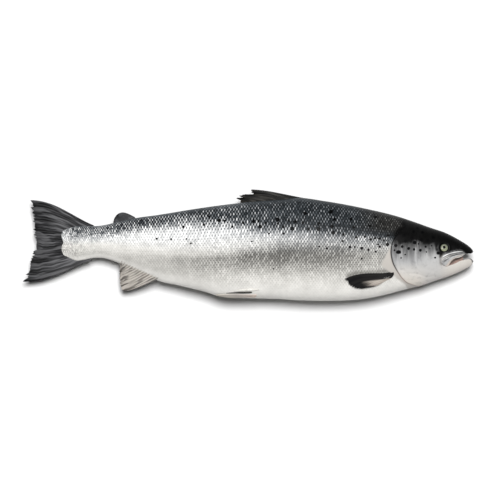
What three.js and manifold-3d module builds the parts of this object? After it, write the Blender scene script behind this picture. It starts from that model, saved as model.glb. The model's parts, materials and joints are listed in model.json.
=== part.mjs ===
// A raw whole salmon, lying on its left side with the right flank up. Millimetres, +Z up, +X towards
// the snout and +Y towards the back. The fish is one solid: body, head and all its fins.
//
// Every point of the fish is worked out from two lengths: "behind", the distance behind the tip of the
// snout, and "height", the distance above the straight line from which the fish was drawn (the back is
// positive, the belly negative). "depth" is the height above the surface that the fish lies on.
import * as THREE from "three";
import { mergeVertices } from "three/addons/utils/BufferGeometryUtils.js";
import Module from "manifold-3d";

const wasm = await Module();
wasm.setup();

// ---------------------------------------------------------------- driving dimensions

const fleshEnd = 703; // where the scaled flesh ends on the tail fin
const headLength = 142; // snout to the hind edge of the gill cover

// Outlines of the body as [behind, height], and its half thickness and the depth of its middle plane.
const backLine = profile([
  [0, -9], [3, -3.5], [9, 2.5], [21, 10.5], [48, 24.8], [76, 34.4], [103, 44], [130, 52.9], [157, 60],
  [185, 66.2], [212, 71.7], [253, 78.8], [300, 84.6], [322, 82], [349, 79.8], [382, 77.6], [430, 72],
  [484, 64.3], [538, 55.4], [575, 50.2], [592, 46.7], [613, 41.8], [633, 37.6], [650, 36.4], [670, 37],
  [688, 35], [fleshEnd, 30],
]);
const bellyLine = profile([
  [0, -21], [3, -28], [8, -32.6], [17, -37.6], [27, -42.5], [46, -50], [62, -55.2], [89, -63.8],
  [130, -74.6], [157, -81.6], [185, -86.8], [212, -89.4], [253, -90.6], [293, -89.8], [334, -87.3],
  [402, -86], [418, -85.6], [430, -83.6], [443, -80], [456, -75.6], [484, -68.8], [511, -62.6],
  [532, -58], [552, -49.6], [579, -37.4], [600, -27.9], [620, -20.4], [633, -17.6], [647, -18],
  [662, -21], [682, -22.5], [fleshEnd, -15],
]);
const halfThickness = profile([
  [0, 3], [3, 8.5], [9, 13], [20, 18], [50, 25], [80, 31], [110, 36], [142, 40], [180, 43.6], [240, 46.6],
  [300, 47], [370, 44.6], [440, 39.6], [510, 32], [560, 25.4], [600, 20], [640, 15], [670, 11],
  [690, 7.4], [fleshEnd, 3.4],
]);
const middleDepth = profile([
  [-10, 31], [80, 35], [150, 38.6], [250, 40.2], [400, 39.6], [480, 37.8], [560, 34], [640, 29],
  [fleshEnd, 26], [735, 24.5], [770, 23],
]);
// Height of the line along which the body is thickest.
const widestLine = profile([
  [0, -15], [50, -10], [110, -8], [200, -6], [400, -4], [540, 2], [640, 9.5], [fleshEnd, 8],
]);
const backSquareness = 2.15; // 2 is an ellipse, more is squarer
const bellySquareness = 2.0;
const snoutRounding = 1.1;

const bodyMesh = { around: 32, headRings: 22, trunkRings: 23, tailRings: 10 };

const gillCover = {
  rise: 2.6, // of its hind edge over the shoulder
  fadesAt: 82, // it lies flush with the cheek here
  outline: [
    [112, 31], [124, 28], [132, 20], [138, 11.2], [141, 1.5], [142, -7.3], [141, -16.2], [138, -26.9],
    [133, -36.6], [128, -44.4], [122, -52.2], [114, -59], [105, -63.4], [96, -68], [78, -64], [70, -40],
    [72, 0], [90, 24],
  ],
};
const cheekPlate = {
  rise: 1.7,
  fadesAt: 58,
  outline: [
    [99, 12], [100.5, -8], [99.8, -28], [95, -37.6], [83, -46.5], [66, -50], [52, -40], [50, -10], [60, 6],
    [80, 14],
  ],
};
const jawBone = {
  // The upper jaw's hind bone, which hangs over the corner of the mouth.
  rise: 2.2,
  fadesAt: 6,
  outline: [
    [15, -9.5], [20, -5.8], [30, -6.2], [42, -9], [52, -13.4], [57.5, -20], [57.5, -28], [53.5, -33.6],
    [48.5, -33], [44, -29], [38.5, -22.8], [33, -19], [26, -17], [19, -14],
  ],
};
const mouth = {
  // A wedge between the lips in front, and a slit that turns down to the corner of the mouth.
  outline: [
    [-12, -5], [-3, -5], [0.6, -5.6], [1.9, -7.8], [4.2, -9.7], [13, -10.4], [17.5, -12.6], [22, -15.6],
    [27, -17.2], [32, -18.4], [37, -21.4], [41.5, -26], [45, -29.8], [48, -32.8], [43, -30.6], [36, -28.4],
    [30.6, -26], [25, -23.2], [18, -21.2], [12, -20], [7.6, -18.6], [4.4, -19.4], [2.4, -22], [-3, -24.5],
    [-12, -25],
  ],
  tongueHalfWidth: 5, // the slit stops this far from the middle of the head
  openFront: 19, // and runs right through in front of this
};
const eye = { behind: 51.7, height: -0.5, radius: 6.6, socketRadius: 8.6, bulge: 2.4, sunk: 3.4 };
const nostrils = [
  { behind: 24.4, height: -0.4, radius: 1.7 },
  { behind: 28.2, height: -2.8, radius: 1.4 },
];

// Each fin is a fan of rays from a root line to an edge line, in [behind, height]. "bow" is how far the
// first and the last ray bulge from straight towards the last ray's side. "halfRoot" and "halfEdge" are
// half thicknesses, and "fray" is the share of its length that the skin between two rays is torn back.
const tailFin = {
  root: [[648, 37], [668, 22], [676, 8], [668, -8], [652, -21]],
  edge: [
    [754, 80.6], [754, 72], [752.5, 60], [751, 46], [749.5, 31], [747.5, 14], [747, 0], [751, -10],
    [756.5, -25], [762.5, -42], [768.5, -58],
  ],
  bow: [-7, 7], rays: 21, rows: 7, fray: 0.075, halfRoot: 2.6, halfEdge: 0.7, sag: 0,
};
const dorsalFin = {
  root: [[288, 84], [322, 78], [362, 74], [390, 71]],
  edge: [
    [379, 98.8], [382, 95.4], [377, 91.6], [397, 89.6], [400, 87.4], [395, 85.6], [405, 84], [396.5, 79.8],
    [398, 77],
  ],
  bow: [-1.8, 0], rays: 12, rows: 5, fray: 0.04, halfRoot: 2.4, halfEdge: 0.7, sag: 0.05,
};
const adiposeFin = {
  root: [[574, 46], [586, 43], [599, 40], [613, 36]],
  edge: [[577, 52], [590, 58.2], [598, 59.8], [606, 57], [611.5, 50], [613.6, 41]],
  bow: [0, 0], rays: 0, columns: 12, rows: 4, fray: 0, halfRoot: 2.8, halfEdge: 0.9, sag: 0.05,
};
const analFin = {
  root: [[534, -52], [556, -42], [580, -31], [600, -22]],
  edge: [[591, -73.5], [599.5, -73.6], [602, -66], [603.4, -56], [604, -49], [603, -38], [602.5, -27]],
  bow: [1.2, 0], rays: 10, rows: 5, fray: 0.06, halfRoot: 8, halfEdge: 0.7, sag: 0.12,
};
// The paired fins lie back along the flank. "lift" is how far the free edge stands off the skin.
const pectoralFin = {
  root: [[136, -41.6], [137, -45], [139.5, -48.6], [143.5, -52.4]],
  edge: [[221, -53.4], [215.7, -60.7], [208, -66.5], [200, -69.6], [189, -69.6], [175, -66.5]],
  bow: [-4.6, 2], rays: 10, rows: 5, fray: 0.05, halfRoot: 2.2, halfEdge: 0.7, lift: 4.5,
};
const pelvicFin = {
  root: [[370, -78.6], [370, -80], [371, -81.6], [372, -83.4]],
  edge: [[440, -80], [439.5, -81.4], [434, -83], [426, -84.2], [417, -85.2]],
  bow: [-0.8, 0.3], rays: 7, rows: 4, fray: 0.05, halfRoot: 2, halfEdge: 0.7, lift: 3.2,
};
const pelvicScale = {
  // The pointed fleshy scale above the root of each pelvic fin.
  root: [[368, -70.5], [368, -72], [368, -73.5]],
  edge: [[397, -70.6], [398, -71.4], [397, -72.2]],
  bow: [-0.3, 0.3], rays: 0, columns: 4, rows: 4, fray: 0, halfRoot: 2, halfEdge: 0.8, lift: 1.6,
};

// ---------------------------------------------------------------- curves

// A smooth function through [position, value] pairs.
function profile(pairs) {
  const positions = pairs.map((pair) => pair[0]);
  const values = pairs.map((pair) => pair[1]);
  const first = positions[0];
  const last = positions[positions.length - 1];
  const spline = new THREE.CubicInterpolant(positions, values, 1);
  return (position) => spline.evaluate(THREE.MathUtils.clamp(position, first, last))[0];
}

// A smooth line through points, as a function of the share from 0 to 1 along it.
function lineThrough(points) {
  const curve = new THREE.SplineCurve(points.map(([a, b]) => new THREE.Vector2(a, b)));
  return (share) => curve.getPoint(THREE.MathUtils.clamp(share, 0, 1));
}

const rise = THREE.MathUtils.smoothstep;
const signedPower = (value, power) => Math.sign(value) * Math.abs(value) ** power;

// Seeded noise from -1 to 1, the same on every run.
function noise(index) {
  const raw = Math.sin(index * 127.1 + 311.7) * 43758.5453;
  return 2 * (raw - Math.floor(raw)) - 1;
}

// ---------------------------------------------------------------- the body's surface

// How far the flesh reaches on to the tail fin: two round lobes with a notch between them.
function lobe(height) {
  const upper = Math.exp(-(((height - 20.5) / 13) ** 2));
  const lower = Math.exp(-(((height + 2) / 13) ** 2));
  return 7 * Math.max(upper, lower) - 8.5;
}

// The thickness above or below the middle plane at a place on the flank.
function flankThickness(behind, height) {
  const widest = widestLine(behind);
  const towardsBack = height > widest;
  const reach = towardsBack ? backLine(behind) - widest : widest - bellyLine(behind);
  const squareness = towardsBack ? backSquareness : bellySquareness;
  const share = Math.min(Math.abs(height - widest) / reach, 1);
  return halfThickness(behind) * (1 - share ** squareness) ** (1 / squareness);
}

// A point of the skin. Angle 0 is the ridge of the back, a quarter turn the upper flank, a half turn
// the belly. "swell" moves it outwards.
function skinPoint(behind, angle, swell) {
  const widest = widestLine(behind);
  const upness = Math.cos(angle);
  const squareness = upness > 0 ? backSquareness : bellySquareness;
  const reach = upness > 0 ? backLine(behind) - widest : widest - bellyLine(behind);
  const height = widest + signedPower(upness, 2 / squareness) * (reach + swell * 0.3);
  const outward = signedPower(Math.sin(angle), 2 / squareness) * (halfThickness(behind) + swell);
  const depth = Math.max(middleDepth(behind) + outward, 0);
  const reachesTail = rise(behind, 655, fleshEnd);
  return new THREE.Vector3(-(behind + lobe(height) * reachesTail), height, depth);
}

// Where the rings of the body lie along it: close together at the head and at the end of the tail.
function ringPlaces({ headRings, trunkRings, tailRings }) {
  const places = [];
  const trunkEnd = 625;
  for (let i = 0; i < headRings; i++) places.push(headLength * (i / headRings) ** 1.35);
  for (let i = 0; i < trunkRings; i++) places.push(headLength + ((trunkEnd - headLength) * i) / trunkRings);
  for (let i = 0; i <= tailRings; i++) {
    places.push(trunkEnd + (fleshEnd - trunkEnd) * Math.sin(((i / tailRings) * Math.PI) / 2));
  }
  return places;
}

// The body as a sphere whose rings of latitude are drawn out along the fish. "swellAt" gives how far
// the skin is moved outwards at each distance behind the snout.
function bodyGeometry(swellAt = () => 0) {
  const places = ringPlaces(bodyMesh);
  const rings = places.length + 1;
  const sphere = new THREE.SphereGeometry(1, bodyMesh.around, rings);
  const position = sphere.attributes.position;
  const vertex = new THREE.Vector3();
  for (let i = 0; i < position.count; i++) {
    vertex.fromBufferAttribute(position, i);
    const ring = Math.round((Math.acos(THREE.MathUtils.clamp(vertex.y, -1, 1)) / Math.PI) * rings);
    const angle = Math.atan2(-vertex.z, vertex.x);
    let point;
    if (ring === 0) point = endPoint(places[0], -snoutRounding);
    else if (ring === rings) point = endPoint(fleshEnd, 0);
    else point = skinPoint(places[ring - 1], angle, swellAt(places[ring - 1]));
    position.setXYZ(i, point.x, point.y, point.z);
  }
  return sphere;
}

// The middle of the first or last ring, moved outwards a little so that the end is rounded.
function endPoint(behind, outwards) {
  const height = (backLine(behind) + bellyLine(behind)) / 2;
  const lobed = behind > headLength ? lobe(height) : 0;
  return new THREE.Vector3(-(behind + outwards + lobed), height, middleDepth(behind));
}

// ---------------------------------------------------------------- solids

function solid(geometry) {
  const bare = geometry.clone();
  bare.deleteAttribute("normal");
  bare.deleteAttribute("uv");
  const merged = mergeVertices(bare, 1e-4);
  const made = new wasm.Manifold(
    new wasm.Mesh({
      numProp: 3,
      vertProperties: new Float32Array(merged.attributes.position.array),
      triVerts: new Uint32Array(merged.index.array),
    }),
  );
  return made;
}

function geometryOf(manifold) {
  const mesh = manifold.getMesh();
  const geometry = new THREE.BufferGeometry();
  geometry.setAttribute("position", new THREE.BufferAttribute(mesh.vertProperties, 3));
  geometry.setIndex(new THREE.BufferAttribute(mesh.triVerts, 1));
  return geometry;
}

// An outline in [behind, height], made smooth and drawn out over a range of depths.
function prism(outline, divisions, fromDepth, toDepth) {
  const curve = new THREE.SplineCurve([...outline, outline[0]].map(([a, b]) => new THREE.Vector2(-a, b)));
  const shape = new THREE.Shape(curve.getPoints(divisions).slice(0, -1));
  const geometry = new THREE.ExtrudeGeometry(shape, { depth: toDepth - fromDepth, bevelEnabled: false });
  return solid(geometry.translate(0, 0, fromDepth));
}

// A bony plate of the head, on both flanks: the body swollen outwards, inside the plate's outline.
function platePair({ rise: height, fadesAt, outline }) {
  const hindmost = Math.max(...outline.map((point) => point[0]));
  const swellAt = (behind) => (height + 0.4) * rise(behind, fadesAt, hindmost) - 0.4;
  const swollen = solid(bodyGeometry(swellAt));
  return swollen.intersect(prism(outline, 30, -20, 120));
}

// The slit of the mouth: open on both sides of the tongue, and right through at the front.
function mouthSlit({ outline, tongueHalfWidth, openFront }) {
  const middle = middleDepth(30);
  const slit = prism(outline, 52, -20, 120);
  const tongue = new THREE.BoxGeometry(120, 60, 2 * tongueHalfWidth);
  tongue.translate(-openFront - 60, -25, middle);
  return slit.subtract(solid(tongue));
}

// The direction in which the skin faces at a place on the upper (side 1) or lower (side -1) flank.
function skinNormal(behind, height, side) {
  const step = 2;
  const slope = (a, b) => flankThickness(a, b) * side + middleDepth(a);
  const along = (slope(behind + step, height) - slope(behind - step, height)) / (2 * step);
  const across = (slope(behind, height + step) - slope(behind, height - step)) / (2 * step);
  return new THREE.Vector3(along, -across, 1).multiplyScalar(side).normalize();
}

function placeOnSkin(geometry, { behind, height }, side, outwards) {
  const normal = skinNormal(behind, height, side);
  const depth = middleDepth(behind) + side * flankThickness(behind, height);
  geometry.applyQuaternion(new THREE.Quaternion().setFromUnitVectors(new THREE.Vector3(0, 0, 1), normal));
  geometry.translate(-behind, height, depth);
  geometry.translate(normal.x * outwards, normal.y * outwards, normal.z * outwards);
  return solid(geometry);
}

function eyeBall(side) {
  const ball = new THREE.SphereGeometry(eye.radius, 16, 8);
  ball.scale(1, 1, (eye.bulge + eye.sunk) / (2 * eye.radius));
  return placeOnSkin(ball, eye, side, (eye.bulge - eye.sunk) / 2);
}

function eyeSocket(side) {
  const dish = new THREE.SphereGeometry(eye.socketRadius, 16, 8);
  dish.scale(1, 1, 0.3);
  return placeOnSkin(dish, eye, side, 0.7);
}

function nostril(place, side) {
  return placeOnSkin(new THREE.SphereGeometry(place.radius, 6, 5), place, side, 0.2);
}

// ---------------------------------------------------------------- fins

// A thin fan of rays. "middleAt" gives the depth of the fan's middle at (behind, height, share out).
function fin({ root, edge, bow, rays, columns, rows, fray, halfRoot, halfEdge }, middleAt, seed) {
  const across = rays > 0 ? rays * 2 : columns;
  const rootLine = lineThrough(root);
  const edgeLine = lineThrough(edge);
  const plate = new THREE.BoxGeometry(1, 1, 1, across, rows, 1);
  const position = plate.attributes.position;
  for (let i = 0; i < position.count; i++) {
    const column = Math.round((position.getX(i) + 0.5) * across);
    const out = position.getY(i) + 0.5;
    const face = Math.sign(position.getZ(i));
    const share = column / across;
    const start = rootLine(share);
    const end = edgeLine(share);
    // Every other column is the skin between two rays: thinner, and torn back at the edge.
    const onRay = rays > 0 ? (column % 2 === 1 ? 1 : -1) : 0;
    const torn = fray * (onRay < 0 ? 1 + 0.7 * noise(column + seed) : 0.35 * noise(column + seed));
    const reach = out * (1 - Math.max(torn, -0.01) * rise(out, 0.7, 1));
    const bend = THREE.MathUtils.lerp(bow[0], bow[1], share) * 6.75 * out * out * (1 - out);
    const direction = end.clone().sub(start);
    const sideways = new THREE.Vector2(direction.y, -direction.x).normalize();
    const point = start.clone().addScaledVector(direction, reach).addScaledVector(sideways, bend);
    const half = THREE.MathUtils.lerp(halfRoot, halfEdge, Math.sqrt(reach)) * (1 + 0.24 * onRay);
    const middle = Math.max(middleAt(point.x, point.y, reach), half + 0.05);
    position.setXYZ(i, -point.x, point.y, middle + face * half);
  }
  return facingOut(plate);
}

// A plate that was laid out the other way round has its triangles turned over.
function facingOut(geometry) {
  const made = solid(geometry);
  if (made.volume() > 0) return made;
  const index = geometry.index;
  for (let i = 0; i < index.count; i += 3) {
    const second = index.getX(i + 1);
    index.setX(i + 1, index.getX(i + 2));
    index.setX(i + 2, second);
  }
  return solid(geometry);
}

// Fins in the fish's middle plane: tail, dorsal, adipose and anal. Their free parts sag a little.
function middleFin(shape, seed) {
  const span = new THREE.Vector2(...shape.root[0]).distanceTo(new THREE.Vector2(...shape.edge[0]));
  return fin(shape, (behind, height, out) => middleDepth(behind) - shape.sag * span * out * out, seed);
}

// Paired fins: the root is inside the flesh and the free edge stands off the skin.
function pairedFin(shape, side, seed) {
  const offSkin = (out) => THREE.MathUtils.lerp(-1.4, shape.lift, rise(out, 0.1, 1));
  const middleAt = (behind, height, out) =>
    middleDepth(behind) + side * (flankThickness(behind, height) + offSkin(out));
  return fin(shape, middleAt, seed);
}

// ---------------------------------------------------------------- the whole fish

function salmonSolid() {
  const sides = [1, -1];
  let fish = solid(bodyGeometry());
  for (const plate of [gillCover, cheekPlate, jawBone]) fish = fish.add(platePair(plate));
  fish = fish.subtract(mouthSlit(mouth));
  for (const side of sides) {
    fish = fish.subtract(eyeSocket(side)).add(eyeBall(side));
    for (const place of nostrils) fish = fish.subtract(nostril(place, side));
  }
  const middleFins = [tailFin, dorsalFin, adiposeFin, analFin];
  middleFins.forEach((shape, i) => {
    fish = fish.add(middleFin(shape, 40 * i));
  });
  const pairedFins = [pectoralFin, pelvicFin, pelvicScale];
  pairedFins.forEach((shape, i) => {
    for (const side of sides) fish = fish.add(pairedFin(shape, side, 200 + 40 * i));
  });
  return fish;
}

const skin = new THREE.MeshStandardMaterial({ color: 0xb4b6b3, roughness: 0.35, metalness: 0.3 });
const salmon = new THREE.Mesh(geometryOf(salmonSolid()), skin);
salmon.name = "salmon";

// The origin is under the middle of the fish, on the surface that it lies on.
const fish = new THREE.Group();
const extent = new THREE.Box3().setFromObject(salmon);
const centre = extent.getCenter(new THREE.Vector3());
salmon.position.set(-centre.x, -centre.y, -extent.min.z);
fish.add(salmon);

export default fish;
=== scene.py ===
import json
import math
import random

import bpy
import numpy as np
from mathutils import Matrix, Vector

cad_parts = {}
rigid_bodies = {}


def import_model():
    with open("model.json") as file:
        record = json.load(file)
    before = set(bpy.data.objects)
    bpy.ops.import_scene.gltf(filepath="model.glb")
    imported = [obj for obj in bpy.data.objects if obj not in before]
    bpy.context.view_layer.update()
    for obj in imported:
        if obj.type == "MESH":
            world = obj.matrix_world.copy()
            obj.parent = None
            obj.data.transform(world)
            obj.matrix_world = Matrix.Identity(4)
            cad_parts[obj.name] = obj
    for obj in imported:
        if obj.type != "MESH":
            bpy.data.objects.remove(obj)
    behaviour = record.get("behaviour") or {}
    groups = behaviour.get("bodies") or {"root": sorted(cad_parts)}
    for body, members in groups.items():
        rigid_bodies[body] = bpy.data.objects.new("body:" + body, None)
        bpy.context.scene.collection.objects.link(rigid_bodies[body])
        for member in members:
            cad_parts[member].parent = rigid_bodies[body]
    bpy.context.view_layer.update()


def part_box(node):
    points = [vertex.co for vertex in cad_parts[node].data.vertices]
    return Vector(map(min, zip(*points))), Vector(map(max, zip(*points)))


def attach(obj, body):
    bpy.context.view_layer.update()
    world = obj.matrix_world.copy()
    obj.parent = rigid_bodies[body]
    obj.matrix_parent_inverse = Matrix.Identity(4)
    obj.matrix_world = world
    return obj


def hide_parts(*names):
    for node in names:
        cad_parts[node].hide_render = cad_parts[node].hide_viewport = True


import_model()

# A point of the fish is given by three lengths in millimetres: how far it is behind the tip of the snout,
# its height above the fish's axis (back up, belly down) and its depth above the table.
mm = 0.001
nodeLow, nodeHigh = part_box("salmon")
snoutX = nodeHigh.x - 0.12 * mm  # the upper lip stands a little ahead of where the profiles start
axisY = nodeLow.y + 90.6 * mm  # the belly reaches 90.6 mm under the axis


def toWorld(behind, height, depth):
    return np.stack([snoutX - behind * mm, axisY + height * mm, depth * mm], axis=-1)


def curve(points):  # a smooth function through (place, value) points
    x, y = np.array(points, float).T
    secant = np.diff(y) / np.diff(x)
    slope = np.concatenate([secant[:1], (secant[1:] + secant[:-1]) / 2, secant[-1:]])

    def at(place):
        place = np.clip(place, x[0], x[-1])
        i = np.clip(np.searchsorted(x, place, side="right") - 1, 0, len(x) - 2)
        width = x[i + 1] - x[i]
        p = (place - x[i]) / width
        q = 1 - p
        ends = (1 + 2 * p) * q * q * y[i] + (3 - 2 * p) * p * p * y[i + 1]
        return ends + width * p * q * (q * slope[i] - p * slope[i + 1])

    return at


def curveThrough(points):  # a smooth line through plane points, for shares from 0 to 1
    points = np.array(points, float)
    lengths = np.linalg.norm(np.diff(points, axis=0), axis=1)
    share = np.concatenate([[0], np.cumsum(lengths)]) / lengths.sum()
    parts = [curve(list(zip(share, points[:, k]))) for k in range(points.shape[1])]
    return lambda at: np.stack([part(at) for part in parts], axis=-1)


def smooth(value, start, end):
    p = np.clip((value - start) / (end - start), 0, 1)
    return p * p * (3 - 2 * p)


def hill(value, centre, width):
    return np.exp(-(((value - centre) / width) ** 2))


def powered(value, power):
    return np.sign(value) * np.abs(value) ** power


def awayFromPart(behind, height, start, end):  # distance to one straight part of a line
    (ax, ay), (bx, by) = start, end
    along = ((behind - ax) * (bx - ax) + (height - ay) * (by - ay)) / ((bx - ax) ** 2 + (by - ay) ** 2)
    along = np.clip(along, 0, 1)
    return np.hypot(behind - ax - along * (bx - ax), height - ay - along * (by - ay))


def nearLine(behind, height, points):  # distance to an open line
    return np.minimum.reduce([awayFromPart(behind, height, *ends) for ends in zip(points[:-1], points[1:])])


def insideOutline(behind, height, outline):  # distance into a closed outline, less than 0 outside it
    inside = np.zeros(behind.shape, bool)
    for (ax, ay), (bx, by) in zip(outline, outline[1:] + outline[:1]):
        crosses = (ay > height) != (by > height)
        where = ax + (height - ay) / ((by - ay) or 1e-9) * (bx - ax)
        inside ^= crosses & (behind < where)
    nearest = nearLine(behind, height, outline + outline[:1])
    return np.where(inside, nearest, -nearest)


# the body's form: outlines, thickness and middle plane, each at places behind the snout
bodyForm = {
    "fleshEnd": 703,
    "headLength": 142,
    "snoutTip": 1.1,  # how far the very tip stands ahead of the first ring
    "back": curve([
        (0, -9), (3, -3.5), (9, 2.5), (21, 10.5), (48, 24.8), (76, 34.4), (103, 44), (130, 52.9), (157, 60),
        (185, 66.2), (212, 71.7), (253, 78.8), (300, 84.6), (322, 82), (349, 79.8), (382, 77.6), (430, 72),
        (484, 64.3), (538, 55.4), (575, 50.2), (592, 46.7), (613, 41.8), (633, 37.6), (650, 36.4), (670, 37),
        (688, 35), (703, 30)]),
    "belly": curve([
        (0, -21), (3, -28), (8, -32.6), (17, -37.6), (27, -42.5), (46, -50), (62, -55.2), (89, -63.8),
        (130, -74.6), (157, -81.6), (185, -86.8), (212, -89.4), (253, -90.6), (293, -89.8), (334, -87.3),
        (402, -86), (418, -85.6), (430, -83.6), (443, -80), (456, -75.6), (484, -68.8), (511, -62.6),
        (532, -58), (552, -49.6), (579, -37.4), (600, -27.9), (620, -20.4), (633, -17.6), (647, -18),
        (662, -21), (682, -22.5), (703, -15)]),
    "halfThick": curve([
        (0, 3), (3, 8.5), (9, 13), (20, 18), (50, 25), (80, 31), (110, 36), (142, 40), (180, 43.6),
        (240, 46.6), (300, 47), (370, 44.6), (440, 39.6), (510, 32), (560, 25.4), (600, 20), (640, 15),
        (670, 11), (690, 7.4), (703, 3.4)]),
    "middle": curve([
        (-10, 31), (80, 35), (150, 38.6), (250, 40.2), (400, 39.6), (480, 37.8), (560, 34), (640, 29),
        (703, 26), (735, 24.5), (770, 23)]),
    "widest": curve([
        (0, -15), (50, -10), (110, -8), (200, -6), (400, -4), (540, 2), (640, 9.5), (703, 8)]),
    "lateralLine": curve([
        (100, 13), (140, 14.5), (200, 18), (260, 20.5), (295, 21.8), (380, 18.7), (458, 14.6), (540, 12.6),
        (620, 12.7), (703, 12.7)]),
    "backPower": 2.15,
    "bellyPower": 2.0,
    "swellUp": 0.3,  # how much of a swelling of the flank also raises the outline
    # the flesh ends on the tail fin in two rounded lobes
    "lobeHeights": (20.5, -2), "lobeWidth": 13, "lobeReach": 7, "lobeNotch": 8.5, "lobeFrom": 655,
}


def lobe(height):  # how far the flesh reaches past its end
    hills = [hill(height, level, bodyForm["lobeWidth"]) for level in bodyForm["lobeHeights"]]
    return bodyForm["lobeReach"] * np.maximum(*hills) - bodyForm["lobeNotch"]


def lobeShift(behind, height):
    return lobe(height) * smooth(behind, bodyForm["lobeFrom"], bodyForm["fleshEnd"])


def halfSection(behind, up):  # the reach up or down from the widest height, and that half's roundness
    form = bodyForm
    widest = form["widest"](behind)
    reach = np.where(up, form["back"](behind) - widest, widest - form["belly"](behind))
    return reach, np.where(up, form["backPower"], form["bellyPower"])


def flankThick(behind, height):  # how thick the fish is above, or below, its middle plane
    widest = bodyForm["widest"](behind)
    reach, power = halfSection(behind, height > widest)
    share = np.clip(np.abs(height - widest) / reach, 0, 1)
    return bodyForm["halfThick"](behind) * (1 - share ** power) ** (1 / power)


def skinHeight(behind, angle, swell=0.0):  # angle 0 is the back's ridge, and pi the belly's
    upness = np.cos(angle)
    reach, power = halfSection(behind, upness > 0)
    return bodyForm["widest"](behind) + powered(upness, 2 / power) * (reach + swell * bodyForm["swellUp"])


def skinDepth(behind, angle, swell=0.0):
    power = halfSection(behind, np.cos(angle) > 0)[1]
    outward = powered(np.sin(angle), 2 / power) * (bodyForm["halfThick"](behind) + swell)
    return bodyForm["middle"](behind) + outward


def angleOf(behind, height, depth):  # the angle of a point of the skin, alike on both flanks
    widest = bodyForm["widest"](behind)
    reach, power = halfSection(behind, height > widest)
    rise = powered(np.clip((height - widest) / reach, -1, 1), power / 2)
    out = np.abs(depth - bodyForm["middle"](behind)) / bodyForm["halfThick"](behind)
    return np.arctan2(np.clip(out, 0, 1) ** (power / 2), rise)


def onFlank(behind, height, side, off=0.0):  # the depth of the skin, or a little off it
    return bodyForm["middle"](behind) + side * (flankThick(behind, height) + off)


def clearSelection():
    if bpy.context.object and bpy.context.object.mode != "OBJECT":
        bpy.ops.object.mode_set(mode="OBJECT")
    bpy.ops.object.select_all(action="DESELECT")


def makeActive(piece):
    clearSelection()
    piece.select_set(True)
    bpy.context.view_layer.objects.active = piece


def newPiece(name):  # the primitive just added, under its own name
    piece = bpy.context.object
    piece.name = name
    piece.data.name = name
    return piece


def readPoints(piece):
    points = np.zeros(len(piece.data.vertices) * 3)
    piece.data.vertices.foreach_get("co", points)
    return points.reshape(-1, 3)


def writePoints(piece, points):
    piece.data.vertices.foreach_set("co", np.ascontiguousarray(points, float).ravel())
    piece.data.update()


def editWhole(piece, *steps):  # runs edit mode operators on the whole of a piece
    makeActive(piece)
    bpy.ops.object.mode_set(mode="EDIT")
    bpy.ops.mesh.select_all(action="SELECT")
    for step in steps:
        step()
    bpy.ops.object.mode_set(mode="OBJECT")


def facesOutward():
    bpy.ops.mesh.normals_make_consistent(inside=False)


def applyModifier(piece, kind, **settings):
    makeActive(piece)
    modifier = piece.modifiers.new(kind.title(), kind)
    for name, value in settings.items():
        setattr(modifier, name, value)
    bpy.ops.object.modifier_apply(modifier=modifier.name)


def smoothShading(piece, degrees):
    makeActive(piece)
    bpy.ops.object.shade_smooth_by_angle(angle=math.radians(degrees))


def giveField(piece, name, values):  # one number for each point, which the finishes read
    field = piece.data.attributes.new(name, "FLOAT", "POINT")
    field.data.foreach_set("value", np.ascontiguousarray(values, np.float32))


def giveFinish(piece, *materials):
    piece.data.materials.clear()
    for material in materials:
        piece.data.materials.append(material)


def polarPiece(name, rings, around):  # a sphere from pole to pole, and each point's ring and angle
    clearSelection()
    bpy.ops.mesh.primitive_uv_sphere_add(segments=around, ring_count=rings, radius=1)
    piece = newPiece(name)
    points = readPoints(piece)
    ring = np.rint(np.arccos(np.clip(points[:, 2], -1, 1)) / math.pi * rings).astype(int)
    turn = 2 * math.pi / around
    column = np.rint(np.arctan2(points[:, 1], points[:, 0]) / turn).astype(int) % around
    return piece, ring, column


offTable = 0.05  # fins and blades stay this far off the table
flanks = ((1, "Right"), (-1, "Left"))  # the way out from the middle plane, and what ends the pieces' names

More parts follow.
